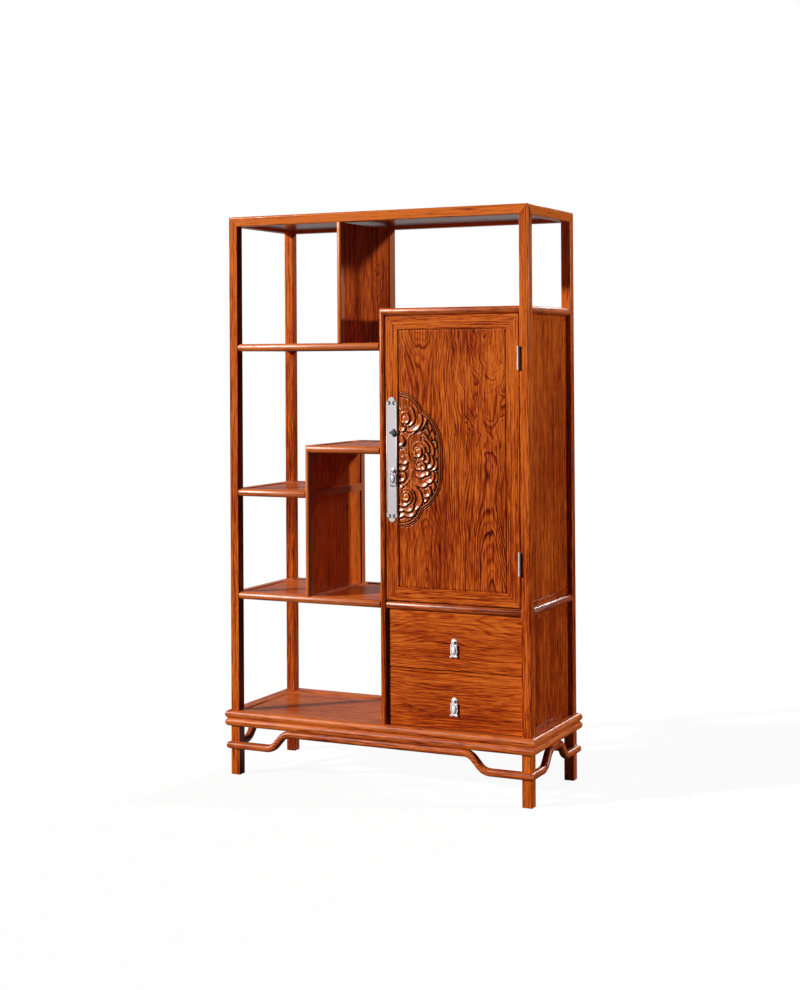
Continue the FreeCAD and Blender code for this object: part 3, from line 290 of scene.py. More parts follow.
def wood_group():
    """Rings and grain in, colour, roughness and height out."""
    tree = bpy.data.node_groups.new("wood_figure", "ShaderNodeTree")
    sockets = (
        ("Grain", "INPUT", "Vector"), ("Rings", "INPUT", "Float"), ("Tone", "INPUT", "Float"),
        ("Contrast", "INPUT", "Float"), ("Streaks", "INPUT", "Float"), ("Line", "INPUT", "Float"),
        ("Colour", "OUTPUT", "Color"), ("Roughness", "OUTPUT", "Float"),
        ("Height", "OUTPUT", "Float"),
    )
    for name, way, kind in sockets:
        tree.interface.new_socket(name, in_out=way, socket_type="NodeSocket" + kind)
    g = Graph(tree)
    source = g.add("NodeGroupInput")
    sink = g.add("NodeGroupOutput")
    grain = source.outputs["Grain"]
    wander = g.noise(g.scaled(grain, (0.7, 30.0, 30.0)))
    phase = g.times_plus(wander, RING_WANDER, source.outputs["Rings"])
    part = g.math("FRACT", phase)
    late = g.smooth(part, LATE_START, LATE_END)
    ring = g.times(late, g.smooth(part, LATE_END, 1.0, 1.0, 0.0))
    which = g.noise(g.combine(g.math("FLOOR", phase), 0.5, 0.5), 0.0)
    ring = g.times(ring, g.smooth(which, 0.30, 0.66, 0.25, 1.0))
    streak = g.noise(g.scaled(grain, (15.0, 430.0, 430.0)), 2.0, 0.60)
    broad = g.noise(g.scaled(grain, (2.6, 115.0, 115.0)), 3.0, 0.60)
    patch = g.noise(g.scaled(grain, (2.6, 6.0, 6.0)))
    pore = g.noise(g.scaled(grain, (24.0, 640.0, 640.0)), 1.0)
    pore = g.smooth(pore, 0.55, 0.64)
    tone = g.times(ring, g.times(source.outputs["Contrast"], -1.0))
    tone = g.plus(tone, MEAN_TONE)
    uneven = g.minus(streak, 0.5)
    tone = g.times_plus(uneven, source.outputs["Streaks"], tone)
    tone = g.plus(tone, g.times_plus(broad, BROAD_SHARE, -BROAD_SHARE / 2))
    tone = g.plus(tone, g.times_plus(patch, PATCH_SHARE, -PATCH_SHARE / 2))
    tone = g.plus(tone, source.outputs["Tone"])
    tone = g.times_plus(pore, PORE_SHARE, tone)
    colour = g.ramp(tone, WOOD_TONES)
    colour = g.mix_colour(source.outputs["Line"], colour, LINE_COLOUR)
    rough = g.times_plus(pore, 0.10, g.times_plus(streak, 0.14, 0.17))
    height = g.times_plus(pore, -0.6, g.times(streak, 0.5))
    height = g.times_plus(source.outputs["Line"], -2.0, height)
    g.feed(sink, {"Colour": colour, "Roughness": rough, "Height": height})
    return tree


WOOD = wood_group()


def wood(name, way, tone, seed, boards=None, across=False, **special):
    """Polished wood: its grain's way, its tone, and the boards it is cut from, if they show."""
    look = {**COMMON_LOOK, **special}
    material = bpy.data.materials.new(name)
    material.use_nodes = True
    g = Graph(material.node_tree)
    shader = g.nodes["Principled BSDF"]
    point = g.add("ShaderNodeTexCoord").outputs["Object"]
    grain, line = grain_vector(g, point, way)
    if boards:
        rings = board_rings(g, grain, seed, boards, across)
    else:
        rings = straight_rings(g, grain, seed)
    z = g.separate(point)[2]
    figure = g.add("ShaderNodeGroup", node_tree=WOOD)
    # Painted light: the tone rises with height, and some panels get a painted darker foot.
    low_tone = tone + TONE_AT_FOOT
    height_tone = g.smooth(z, RISE_LOW, RISE_HIGH, low_tone, low_tone + RISING_TONE)
    if look["painted_foot_shade"]:
        painted_foot_shade = g.smooth(z, *FOOT_BAND, look["painted_foot_shade"], 0.0)
        height_tone = g.plus(height_tone, painted_foot_shade)
    g.feed(figure, {
        "Grain": g.scaled(grain, (1.0, 1.0, 1.0), (seed * SEED_STEP, 0.0, 0.0)),
        "Rings": rings, "Line": line, "Tone": height_tone,
        "Contrast": look["contrast"], "Streaks": look["streaks"],
    })
    g.feed(shader, {
        "Base Color": figure.outputs["Colour"],
        "Roughness": g.plus(figure.outputs["Roughness"], look["haze"]),
        "Normal": g.bump(figure.outputs["Height"], 0.0002, 0.5),
        "Specular IOR Level": look["gloss"], "Specular Tint": look["sheen"],
    })
    return material


def figure_of(g):
    return next(item for item in g.nodes if item.type == "GROUP")


def plain_wood(name, way, seed):
    """The pale planed wood inside the cupboard and the drawers."""
    material = wood(name, way, 0.0, seed)
    g = Graph(material.node_tree)
    shader = g.nodes["Principled BSDF"]
    colour = g.mix_colour(0.50, figure_of(g).outputs["Colour"], PALE_WOOD)
    g.feed(shader, {"Base Color": colour, "Specular Tint": WHITE})
    return material


def metal(name, colour, roughness):
    """Brushed white metal with fine scratches."""
    material = bpy.data.materials.new(name)
    material.use_nodes = True
    g = Graph(material.node_tree)
    shader = g.nodes["Principled BSDF"]
    point = g.add("ShaderNodeTexCoord").outputs["Object"]
    brush = g.noise(g.scaled(point, (900.0, 900.0, 60.0)), 3.0, 0.6)
    cloud = g.noise(g.scaled(point, (60.0, 60.0, 60.0)))
    shade = g.times_plus(cloud, 0.25, 0.72)
    shade = g.math("MULTIPLY_ADD", brush, 0.30, shade, clamp=True)
    tint = g.mix_colour(shade, tuple(value * 0.72 for value in colour), colour)
    g.feed(shader, {
        "Base Color": tint, "Metallic": 0.45,
        "Roughness": g.times_plus(brush, 0.16, roughness),
        "Normal": g.bump(brush, 0.00005, 0.5),
    })
    return material


WHITE_METAL = metal("white_metal", (0.66, 0.610, 0.620), 0.40)
PULL_METAL = metal("pull_metal", (0.98, 0.93, 0.94), 0.46)
DARK_METAL = metal("dark_metal", (0.13, 0.115, 0.115), 0.34)
# Near-black, for painted shade where the lock plate's hooks are pierced.
PAINTED_SHADE_METAL = metal("painted_shade_metal", (0.020, 0.015, 0.015), 0.60)

# Boards: where one begins, its heart line, the top of its arches and how fast they close there,
# then the foot and how fast they close there.
DOOR_BOARDS = (
    (0.000, 0.186, 1.66, 0.50, 0.74, 0.36), (0.300, 0.210, 3.00, 0.50, -1.0, 0.50),
    (0.345, 0.430, 1.58, 0.42, 0.66, 0.34),
)
# Polished nodes: the grain's way and the tone. Their order gives each its seed.
NODE_WOODS = {
    "post_front_left": ("z", 0.12), "post_front_right": ("z", 0.08),
    "post_rear_left": ("z", 0.04), "post_rear_right": ("z", -0.04),
    "leg_front_left": ("z", 0.10), "leg_front_right": ("z", 0.10),
    "leg_rear_left": ("z", 0.0), "leg_rear_right": ("z", 0.16),
    "centre_post_front": ("z", 0.03), "centre_post_rear": ("z", 0.0),
    "top_frame": ("top_ring", 0.36),
    "stand_frame": ("base_ring", 0.28), "base_frame": ("base_ring", 0.28),
    "hump_stretcher_front": ("x", 0.12), "hump_stretcher_rear": ("x", 0.0),
    "hump_stretcher_left": ("y", 0.02), "hump_stretcher_right": ("y", 0.04),
    "high_shelf_frame": ("shelf", 0.44), "step_shelf_frame": ("shelf", 0.44),
    "low_shelf_frame": ("shelf", 0.38), "middle_shelf_frame": ("shelf", 0.38),
    "cupboard_top_frame": ("shelf", 0.06), "middle_board_frame": ("shelf", 0.03),
    "top_partition_stiles": ("z", 0.50), "inner_partition_frame": ("partition", 0.74),
    "door_frame": ("door_ring", 0.10),
    "floor_panel": ("x", 0.22), "top_panel": ("x", 0.0), "high_shelf_panel": ("x", 0.22),
    "step_shelf_panel": ("x", 0.22), "low_shelf_panel": ("x", 0.22),
    "middle_shelf_panels": ("x", 0.22), "cupboard_top_panel": ("x", 0.22),
    "middle_board_panel": ("x", 0.0),
    "top_partition_panel": ("z", -0.24), "inner_partition_panels": ("z", 0.20),
    "right_side_panels": ("z", -0.05), "left_side_panels": ("z", -0.05),
    "back_panels": ("z", -0.05),
    "lower_drawer_front": ("x", 0.06), "upper_drawer_front": ("x", 0.06),
}
PLAIN_WOODS = {
    "inner_shelves": "x", "shelf_cleats": "y", "door_stop": "x", "drawer_runners": "y",
    "lower_drawer_box": "y", "upper_drawer_box": "y",
}
FIGURES = {
    "lower_drawer_front": ((0.0, 0.325, 0.80, 0.14, -0.20, 0.10),),
    "upper_drawer_front": ((0.0, 0.610, 0.90, 0.20, -0.40, 0.20),),
    "top_partition_panel": ((-1.0, 0.060, 2.00, 0.40, 1.20, 0.30),),
}


def named(*parts):
    """The polished nodes whose names hold one of some parts."""
    return tuple(name for name in NODE_WOODS if any(part in name for part in parts))


LOOKS = (
    (named("shelf_frame"), {"gloss": 1.0, "haze": 0.15, "sheen": WHITE}),
    (("cupboard_top_frame", "middle_board_frame"), {"gloss": 1.0, "haze": 0.13}),
    (("top_partition_stiles", "inner_partition_frame"), {"gloss": 0.8, "haze": 0.15}),
    (named("base_frame", "stand_frame", "hump_"), {"gloss": 0.55, "haze": 0.14}),
    (named("side_panels", "back_panels"),
     {"gloss": 0.08, "contrast": 0.34, "streaks": 1.8, "painted_foot_shade": -0.13}),
    (("inner_partition_panels",), {"gloss": 0.08, "contrast": 0.34}),
    (named("floor_panel", "shelf_panel", "cupboard_top_panel"), {"gloss": 0.10, "contrast": 0.34}),
    (("top_panel",), {"gloss": 0.90, "haze": -0.12, "sheen": WHITE}),
    (named("drawer_front"), {"contrast": 0.34, "streaks": 1.2}),
)
SOFT_EDGED = named(
    "post_", "leg_", "top_frame", "shelf_frame", "board_frame", "door_frame", "partition_frame",
    "partition_stiles", "drawer_front",
)

# The colour of painted shade.
PAINTED_SHADE_TINT = (0.030, 0.0040, 0.0016)
# Faces with painted light: painted shade on the right faces of the left posts, the front centre
# post and the partitions, and a painted reflection under the top panel. For each: the axis they
# look along, which way, how much, the colour.
PAINTED_LIGHT_FACES = {
    "top_panel": (2, -1, 0.80, (0.230, 0.145, 0.215)),
    "post_front_left": (0, 1, 0.80, PAINTED_SHADE_TINT),
    "post_rear_left": (0, 1, 0.45, PAINTED_SHADE_TINT),
    "centre_post_front": (0, 1, 0.60, PAINTED_SHADE_TINT),
    "top_partition_stiles": (0, 1, 0.50, PAINTED_SHADE_TINT),
    "inner_partition_frame": (0, 1, 0.45, PAINTED_SHADE_TINT),
}
# How squarely a face has to look that way: the tint starts at the first, is full at the second.
FACING = (0.5, 0.9)

# Softened edges: how close points are welded, how wide the edge is, and how sharp it was.
NODE_WELD = 0.00002
NODE_EDGE = 0.0010
SHARP_DEGREES = 50
WOOD_SEED, PLAIN_SEED = 1.7, 2.3


def set_material(piece, material):
    """Dresses the object and leaves its mesh as it is."""
    if not piece.material_slots:
        piece.data.materials.append(material)
    for place in piece.material_slots:
        place.link = "OBJECT"
        place.material = material


def soften(piece):
    """Rounds a node's sharp edges by a millimetre; its own mesh stays as it is."""
    weld = piece.modifiers.new("weld", "WELD")
    weld.merge_threshold = NODE_WELD
    bevel = piece.modifiers.new("bevel", "BEVEL")
    bevel.width = NODE_EDGE
    bevel.segments = 2
    bevel.limit_method = "ANGLE"
    bevel.angle_limit = math.radians(SHARP_DEGREES)
    bevel.use_clamp_overlap = True


def paint_light_on_faces(material, axis, sign, share, tint):
    """Paints light onto the faces that look one way: a painted shade or a painted reflection."""
    g = Graph(material.node_tree)
    shader = g.nodes["Principled BSDF"]
    colour = shader.inputs["Base Color"].links[0].from_socket
    way = g.separate(g.add("ShaderNodeNewGeometry").outputs["Normal"])[axis]
    looking = g.smooth(way, FACING[0] * sign, FACING[1] * sign, 0.0, share)
    g.put(shader.inputs["Base Color"], g.mix_colour(looking, colour, tint))


def dress_frame():
    """Gives every node its material and rounds the edges that show."""
    for index, (name, (way, tone)) in enumerate(NODE_WOODS.items()):
        look = {}
        for names, values in LOOKS:
            if name in names:
                look = values
        seed = WOOD_SEED * index
        material = wood("wood_" + name, way, tone, seed, FIGURES.get(name), True, **look)
        # Painted shade, and under the top panel a painted reflection, on the faces listed above.
        if name in PAINTED_LIGHT_FACES:
            paint_light_on_faces(material, *PAINTED_LIGHT_FACES[name])
        set_material(frame["nodes"][name], material)
    for index, (name, way) in enumerate(PLAIN_WOODS.items()):
        material = plain_wood("plain_" + name, way, PLAIN_SEED * index)
        set_material(frame["nodes"][name], material)
    for name in frame["nodes"]:
        if name not in NODE_WOODS and name not in PLAIN_WOODS:
            set_material(frame["nodes"][name], WHITE_METAL)
    for name in SOFT_EDGED:
        soften(frame["nodes"][name])


dress_frame()


# Mesh pieces: sizes in millimetres

WELD_REACH = 0.000002


class Shape:
    """Gathers points and faces and makes one mesh piece from them."""

    def __init__(self):
        self.points = []
        self.faces = []
        self.smooth = []

    def add(self, points, faces, smooth=True):
        start = len(self.points)
        self.points.extend(tuple(point) for point in points)
        self.faces.extend([start + index for index in face] for face in faces)
        self.smooth.extend([smooth] * len(faces))

    def strip(self, rows, smooth=True, capped=True):
        """A closed skin through rings of points of equal count."""
        count = len(rows[0])
        points = [point for row in rows for point in row]
        faces = []
        for row in range(len(rows) - 1):
            for index in range(count):
                after = (index + 1) % count
                low, high = row * count, (row + 1) * count
                faces.append((low + index, low + after, high + after, high + index))
        if capped:
            faces.append(tuple(range(count)))
            faces.append(tuple(range((len(rows) - 1) * count, len(rows) * count)))
        self.add(points, faces, smooth)

    def lathe(self, centre, axis, profile, sides, stretch=(1.0, 1.0)):
        """A turned piece: pairs of radius and reach along the axis."""
        centre, axis = Vector(centre), Vector(axis).normalized()
        helper = Vector((0, 0, 1)) if abs(axis.z) < 0.9 else Vector((1, 0, 0))
        first = axis.cross(helper).normalized()
        second = axis.cross(first)
        rows = []
        for radius, reach in profile:
            ring = []
            for index in range(sides):
                angle = 2 * math.pi * index / sides
                way = first * (math.cos(angle) * stretch[0])
                way = way + second * (math.sin(angle) * stretch[1])
                ring.append(centre + axis * reach + way * radius)
            rows.append(ring)
        self.strip(rows)

    def tube(self, path, radii, sides=10):
        """A round bar along a path, with a radius for each of its points."""
        path = [Vector(point) for point in path]
        rows = []
        side = None
        for index, point in enumerate(path):
            way = path[min(index + 1, len(path) - 1)] - path[max(index - 1, 0)]
            way.normalize()
            if side is None:
                side = way.orthogonal().normalized()
            side = (side - way * side.dot(way)).normalized()
            other = way.cross(side)
            ring = []
            for step in range(sides):
                angle = 2 * math.pi * step / sides
                spread = side * math.cos(angle) + other * math.sin(angle)
                ring.append(point + spread * radii[index])
            rows.append(ring)
        self.strip(rows)

    def plate(self, outline, back, front, bevel):
        """A flat plate in the X-Z plane whose front edge is bevelled."""
        step = bevel if front > back else -bevel
        top = [(x, front, z) for x, z in inset(outline, bevel)]
        rows = [[(x, y, z) for x, z in outline] for y in (back, front - step)] + [top]
        self.strip(rows, smooth=False, capped=False)
        self.add(top, tessellate_polygon([[Vector(point) for point in top]]), False)

    def make(self, name, material, body, slot, *nodes):
        """A welded piece in metres, tied to its body and the nodes it stands for, which it hides;
        the slot is not used.
        """
        mesh = bpy.data.meshes.new(name)
        points = [(x * MM, y * MM, z * MM) for x, y, z in self.points]
        mesh.from_pydata(points, [], self.faces)
        mesh.polygons.foreach_set("use_smooth", self.smooth)
        work = bmesh.new()
        work.from_mesh(mesh)
        bmesh.ops.remove_doubles(work, verts=work.verts, dist=WELD_REACH)
        bmesh.ops.recalc_face_normals(work, faces=work.faces)
        work.to_mesh(mesh)
        work.free()
        mesh.materials.append(material)
        piece = bpy.data.objects.new(name, mesh)
        bpy.context.collection.objects.link(piece)
        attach(piece, body)
        if nodes:
            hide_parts(*nodes)


def inset(loop, gap):
    """An anticlockwise outline drawn in by a gap."""
    result = []
    for index, (x, z) in enumerate(loop):
        px, pz = loop[index - 1]
        nx, nz = loop[(index + 1) % len(loop)]
        way = Vector((nx - px, nz - pz)).normalized()
        result.append((x - way.y * gap, z + way.x * gap))
    return result


def arc(centre, radius, start, stop, count):
    """Points of an arc in the X-Z plane, between two angles in degrees."""
    points = []
    for index in range(count + 1):
        angle = math.radians(start + (stop - start) * index / count)
        points.append((centre[0] + radius * math.cos(angle), centre[1] + radius * math.sin(angle)))
    return points


# The carved door panel

PANEL_LEFT, PANEL_RIGHT = 95.5, 494.0
PANEL_LOW, PANEL_HIGH = 705.5, 1586.0
PANEL_FACE, PANEL_BACK = -211.5, -199.5
BACK_DEPTH = 5.0
TONGUE = 9.0
TONGUE_FRONT, TONGUE_BACK = -208.0, -203.0
OVERLAP = 0.2

# The panel's grid: fine over the carving, coarse over the flat, and close at the eased edge.
GRID = 1.1
COARSE_ACROSS, COARSE_UP = 36.0, 38.0
EDGE_BAND, EDGE_GRID = 6.0, 1.5
EDGE_DROP = 2.6
CARVED_RIGHT, CARVED_LOW, CARVED_HIGH = 272.0, 900.0, 1382.0

# The medallion: one wide lobe to the right and one at each end, as places from its left edge and
# its middle, with their radii.
CARVED_LEFT, CARVED_MIDDLE = 97.5, 1141.0
SIDE_PLACE, SIDE_STRAIGHT, SIDE_RADIUS = 27.5, 50.0, 136.0
END_PLACE, END_HEIGHT, END_RADIUS = 7.0, 144.0, 88.0

# Its border of two beads: where it ends, and each bead's middle, half width and height.
BORDER = 17.5
BORDER_SPLIT = 7.0
BORDER_FLOOR = -6.0
OUTER_BEAD = (4.0, 2.1, 1.8)
INNER_BEAD = (11.7, 3.2, 2.0)

# Heights over the panel's face: a curl's rim, its hollow, the bed behind all curls and the cut
# around a curl; then how wide that cut is, a curl's fall inwards and its rounded edge.
RIDGE_TOP = 2.0
HOLLOW = -1.5
BED = -1.0
GROOVE_FLOOR = -5.0
GROOVE = 5.0
SLOPE = 0.36
EDGE_ROUND = 2.2
KNOB_RISE = 2.4
STEM_RISE = 3.2

# Curls stand out towards this way and open to the other, between two shares of it.
CURL_WAY = (0.80, -0.60)
CURL_OPENING = (-0.50, 0.15)

# Overlapping cloud curls from the back ones to the front ones: each is one or more discs
# (place across, height, radius), and each disc is a dish whose rim stands over what lies behind.
LUMPS = (
    ((222, 1128, 24),), ((222, 1160, 23),), ((218, 1192, 22),), ((212, 1222, 21),),
    ((202, 1250, 19),), ((186, 1262, 17),), ((208, 1178, 19),), ((203, 1206, 18),),
    ((194, 1232, 17),), ((221, 1082, 22),), ((212, 1052, 20),), ((203, 1026, 17),),
)
CLOUDS = (
    ((174, 1194, 40),), ((190, 1012, 15),), ((198, 1034, 20),),
    ((205, 1087, 25), (184, 1074, 26)), ((178, 1102, 22), (197, 1105, 18)),
    ((184, 1170, 46), (219, 1128, 24)), ((176, 1172, 37), (202, 1136, 26)),
    ((171, 1170, 26), (190, 1146, 22)), ((185, 1149, 9),), ((166, 1166, 17),),
    ((171, 1120, 14), (185, 1118, 13)),
    ((150, 1290, 55), (120, 1335, 42)), ((142, 1280, 44), (138, 1312, 34), (118, 1330, 26)),
    ((108, 1252, 15),), ((130, 1284, 29), (134, 1302, 20), (118, 1310, 16)), ((121, 1281, 17),),
    ((140, 1008, 44), (159, 1005, 26), (134, 970, 26), (97, 970, 28)),
    ((124, 1010, 34), (130, 984, 22), (100, 985, 22)), ((122, 1012, 24), (112, 1004, 24)),
    ((121, 1013, 14),),
    ((99, 1058, 16),), ((103, 1084, 20),), ((108, 1123, 20),), ((108, 1150, 27),),
    ((115, 1144, 20),), ((96, 1206, 27),), ((99, 1204, 18),),
)
# Round knobs in the curls: place across, height, radius.
KNOBS = (
    (119, 1281, 10), (167, 1171, 8), (172, 1121, 7), (121, 1015, 8), (112, 1149, 7), (111, 1090, 6),
)
# Raised stems between the curls: lines of places, with a half width each.
STEMS = (
    (((97, 1246), (114, 1230), (129, 1212), (131, 1186), (131, 1160), (138, 1132)), 3.6),
    (((129, 1212), (140, 1226), (156, 1236)), 3.2),
    (((146, 1104), (141, 1080), (128, 1064), (110, 1050), (98, 1036)), 3.6),
    (((141, 1080), (152, 1064), (164, 1058)), 3.2),
    (arc((172, 1178), 24, 200, 20, 12), 2.2), (arc((170, 1170), 14, 215, 40, 8), 2.0),
    (arc((122, 1286), 18, 215, 60, 8), 2.2), (arc((126, 1018), 26, 190, 40, 12), 2.2),
    (arc((122, 1016), 15, 215, 50, 8), 2.0), (arc((178, 1122), 17, 205, 60, 8), 2.0),
)


def medallion_depth(x, z):
    """How far inside the medallion's outline a place is."""
    height = np.abs(z - CARVED_MIDDLE)
    beyond = np.maximum(height - SIDE_STRAIGHT, 0.0)
    side = SIDE_RADIUS - np.hypot(x - (CARVED_LEFT + SIDE_PLACE), beyond)
    end = END_RADIUS - np.hypot(x - (CARVED_LEFT + END_PLACE), height - END_HEIGHT)
    return np.maximum(side, end)


def ease(value, low, high):
    share = np.clip((value - low) / (high - low), 0.0, 1.0)
    return share * share * (3.0 - 2.0 * share)


def line_gap(x, z, points):
    """How far a place is from a line through points."""
    best = None
    for (ax, az), (bx, bz) in zip(points, points[1:]):
        dx, dz = bx - ax, bz - az
        share = np.clip(((x - ax) * dx + (z - az) * dz) / (dx * dx + dz * dz), 0.0, 1.0)
        gap = np.hypot(x - ax - dx * share, z - az - dz * share)
        best = gap if best is None else np.minimum(best, gap)
    return best


def curl_depth(x, z, curl):
    """How far inside a curl a place is, and how fully the curl stands out there."""
    depth = np.full(x.shape, -1000.0)
    open_way = np.zeros(x.shape)
    for across, height, radius in curl:
        gap = np.hypot(x - across, z - height)
        way = (x - across) * CURL_WAY[0] + (z - height) * CURL_WAY[1]
        way = way / np.maximum(gap, radius * 0.6)
        nearer = radius - gap > depth
        depth = np.where(nearer, radius - gap, depth)
        open_way = np.where(nearer, way, open_way)
    return depth, ease(open_way, *CURL_OPENING)


def carved_height(x, z):
    """The carving's height over the panel's face."""
    field = np.full(x.shape, BED)
    for curl in LUMPS + CLOUDS:
        depth, share = curl_depth(x, z, curl)
        new = np.where(depth <= 0, np.minimum(field, groove(depth)), dish(depth))
        field = field + (new - field) * share
    for across, height, radius in KNOBS:
        share = 1.0 - (np.hypot(x - across, z - height) / radius) ** 2
        knob = HOLLOW + KNOB_RISE * np.sqrt(np.maximum(share, 0))
        field = np.where(share > 0, np.maximum(field, knob), field)
    for points, half in STEMS:
        share = 1.0 - (line_gap(x, z, points) / half) ** 2
        ridge = HOLLOW + STEM_RISE * np.sqrt(np.maximum(share, 0.0))
        field = np.where(share > 0, np.maximum(field, ridge), field)
    inside = medallion_depth(x, z)
    border = np.where(inside < BORDER_SPLIT, bead(inside, *OUTER_BEAD), bead(inside, *INNER_BEAD))
    result = np.where(inside < BORDER, border, field)
    return np.where(inside > 0, result, 0.0)


def groove(depth):
    """The cut around a curl, on whatever lies behind it."""
    return GROOVE_FLOOR + 5.0 * np.clip((-depth - 1.6) / GROOVE, 0.0, 2.0) ** 2


def dish(depth):
    """A curl's profile inwards from its rim: a rounded edge, then a slope down to a hollow."""
    edge = RIDGE_TOP - 3.0 + 3.0 * np.sqrt(np.clip(1.0 - (1.0 - depth / EDGE_ROUND) ** 2, 0.0, 1.0))
    slope = np.maximum(RIDGE_TOP - SLOPE * (depth - EDGE_ROUND), HOLLOW)
    return np.where(depth < EDGE_ROUND, edge, slope)


def bead(inside, middle, half, high):
    share = 1.0 - ((inside - middle) / half) ** 2
    return BORDER_FLOOR + (high - BORDER_FLOOR) * np.sqrt(np.clip(share, 0.0, 1.0))


def blurred(field):
    """The heights, each averaged a little with its neighbours."""
    for axis in (0, 1):
        before = np.roll(field, 1, axis)
        after = np.roll(field, -1, axis)
        field = (before + 2.0 * field + after) / 4.0
    return field


def spread_over(start, *stretches):
    """Places from start through each stretch's end, about its step apart."""
    places = [[start]]
    for stop, step in stretches:
        count = max(1, round((stop - start) / step))
        places.append(np.linspace(start, stop, count + 1)[1:])
        start = stop
    return np.concatenate(places)


def carved_panel():
    """The door's panel: its carved front, a plain back, and the tongues that sit in the frame."""
    left, right, low, high = PANEL_LEFT, PANEL_RIGHT, PANEL_LOW, PANEL_HIGH
    columns = spread_over(
        left, (CARVED_RIGHT, GRID), (right - EDGE_BAND, COARSE_ACROSS), (right, EDGE_GRID),
    )
    rows = spread_over(
        low, (low + EDGE_BAND, EDGE_GRID), (CARVED_LOW, COARSE_UP), (CARVED_HIGH, GRID),
        (high - EDGE_BAND, COARSE_UP), (high, EDGE_GRID),
    )
    x, z = np.meshgrid(columns, rows)
    height = carved_height(x, z)
    height = np.where(medallion_depth(x, z) > -4.0, blurred(height), height)
    edge = np.minimum(np.minimum(right - x, x - left), np.minimum(z - low, high - z))
    height = height - EDGE_DROP * (1.0 - ease(edge, 0.5, 4.0))
    shape = Shape()
    count = len(columns)
    points = np.stack((x, PANEL_FACE - height, z), axis=-1).reshape(-1, 3)
    faces = []
    for row in range(len(rows) - 1):
        start = row * count
        for index in range(start, start + count - 1):
            faces.append((index, index + 1, index + 1 + count, index + count))
    shape.add(points.tolist(), faces)
    add_box(shape, (left, PANEL_BACK - BACK_DEPTH, low), (right, PANEL_BACK, high))
    near, far = TONGUE_FRONT, TONGUE_BACK
    add_box(shape, (left - TONGUE, near, low - TONGUE), (left + OVERLAP, far, high + TONGUE))
    add_box(shape, (right - OVERLAP, near, low - TONGUE), (right + TONGUE, far, high + TONGUE))
    add_box(shape, (left, near, low - TONGUE), (right, far, low + OVERLAP))
    add_box(shape, (left, near, high - OVERLAP), (right, far, high + TONGUE))
    material = wood("wood_door_panel", "z", 0.03, 3.1, DOOR_BOARDS)
    vary_figure(material)
    shade_carving(material)
    shape.make("carved_door_panel", material, "door", "carved_wood", "door_panel")


def add_box(shape, low, high):
    x, y, z = zip(low, high)
    points = [(x[a], y[b], z[c]) for a in (0, 1) for b in (0, 1) for c in (0, 1)]
    faces = ((0, 1, 3, 2), (4, 6, 7, 5), (0, 4, 5, 1), (2, 3, 7, 6), (0, 2, 6, 4), (1, 5, 7, 3))
    shape.add(points, faces, False)


def vary_figure(material):
    """Bold arches at the lower right, faint ones at the lower left, swirls at the upper right."""
    g = Graph(material.node_tree)
    point = g.add("ShaderNodeTexCoord").outputs["Object"]
    x, _, z = g.separate(point)
    inputs = figure_of(g).inputs
    corner = g.times(g.smooth(x, 0.26, 0.36), g.smooth(z, 1.05, 1.25))
    swirl = g.minus(g.noise(g.scaled(point, (9.0, 9.0, 7.0)), 2.0, 0.5, 0.8), 0.5)
    swirl = g.times(g.times(swirl, corner), 11.0)
    g.put(inputs["Rings"], g.plus(swirl, inputs["Rings"].links[0].from_socket))
    smoke = g.noise(g.scaled(point, (7.0, 7.0, 5.0), (3.0, 0.0, 1.0)), 3.0)
    smoke = g.times(g.smooth(smoke, 0.40, 0.62, 0.02, -0.24), corner)
    g.put(inputs["Tone"], g.plus(smoke, inputs["Tone"].links[0].from_socket))
    low = g.smooth(z, 0.86, 1.05, 1.0, 0.0)
    change = g.smooth(x, 0.30, 0.38, -0.28, 0.30)
    g.put(inputs["Contrast"], g.times_plus(low, change, 0.58))


def reach_inside(g, radius, x, z):
    """How far inside a circle of a radius in millimetres a place in metres is."""
    square = g.times_plus(x, x, g.times(z, z))
    return g.minus(radius * MM, g.math("SQRT", square))


def shade_carving(material):
    """Paints shade into the carving's bottoms and warms its ridges, by how far forward they lie."""
    g = Graph(material.node_tree)
    shader = g.nodes["Principled BSDF"]
    x, y, z = g.separate(g.add("ShaderNodeTexCoord").outputs["Object"])
    colour = shader.inputs["Base Color"].links[0].from_socket
    height = g.math("ABSOLUTE", g.minus(z, CARVED_MIDDLE * MM))
    beyond = g.math("MAXIMUM", g.minus(height, SIDE_STRAIGHT * MM), 0.0)
    across = g.minus(x, (CARVED_LEFT + SIDE_PLACE) * MM)
    side = reach_inside(g, SIDE_RADIUS, across, beyond)
    across = g.minus(x, (CARVED_LEFT + END_PLACE) * MM)
    end = reach_inside(g, END_RADIUS, across, g.minus(height, END_HEIGHT * MM))
    carved = g.smooth(g.math("MAXIMUM", side, end), 0.0, 1.5 * MM)
    high = g.smooth(y, (PANEL_FACE + 1.6) * MM, (PANEL_FACE - 1.8) * MM, 0.05, 0.75)
    bright = g.mix_colour(0.6, colour, (0.95, 0.260, 0.045))
    colour = g.mix_colour(g.times(high, carved), colour, bright)
    # Painted shade: the bottoms of the cuts darken to near black.
    low = g.smooth(y, (PANEL_FACE + 2.4) * MM, (PANEL_FACE + 4.2) * MM, 0.0, 0.94)
    front = g.smooth(y, (PANEL_FACE + 6.6) * MM, (PANEL_FACE + 6.9) * MM, 1.0, 0.0)
    low = g.times(g.times(low, front), carved)
    g.put(shader.inputs["Base Color"], g.mix_colour(low, colour, (0.016, 0.0024, 0.0012)))
    g.put(shader.inputs["Specular IOR Level"], g.times_plus(carved, 0.36, 0.22))


# Lock plate, staple and pulls

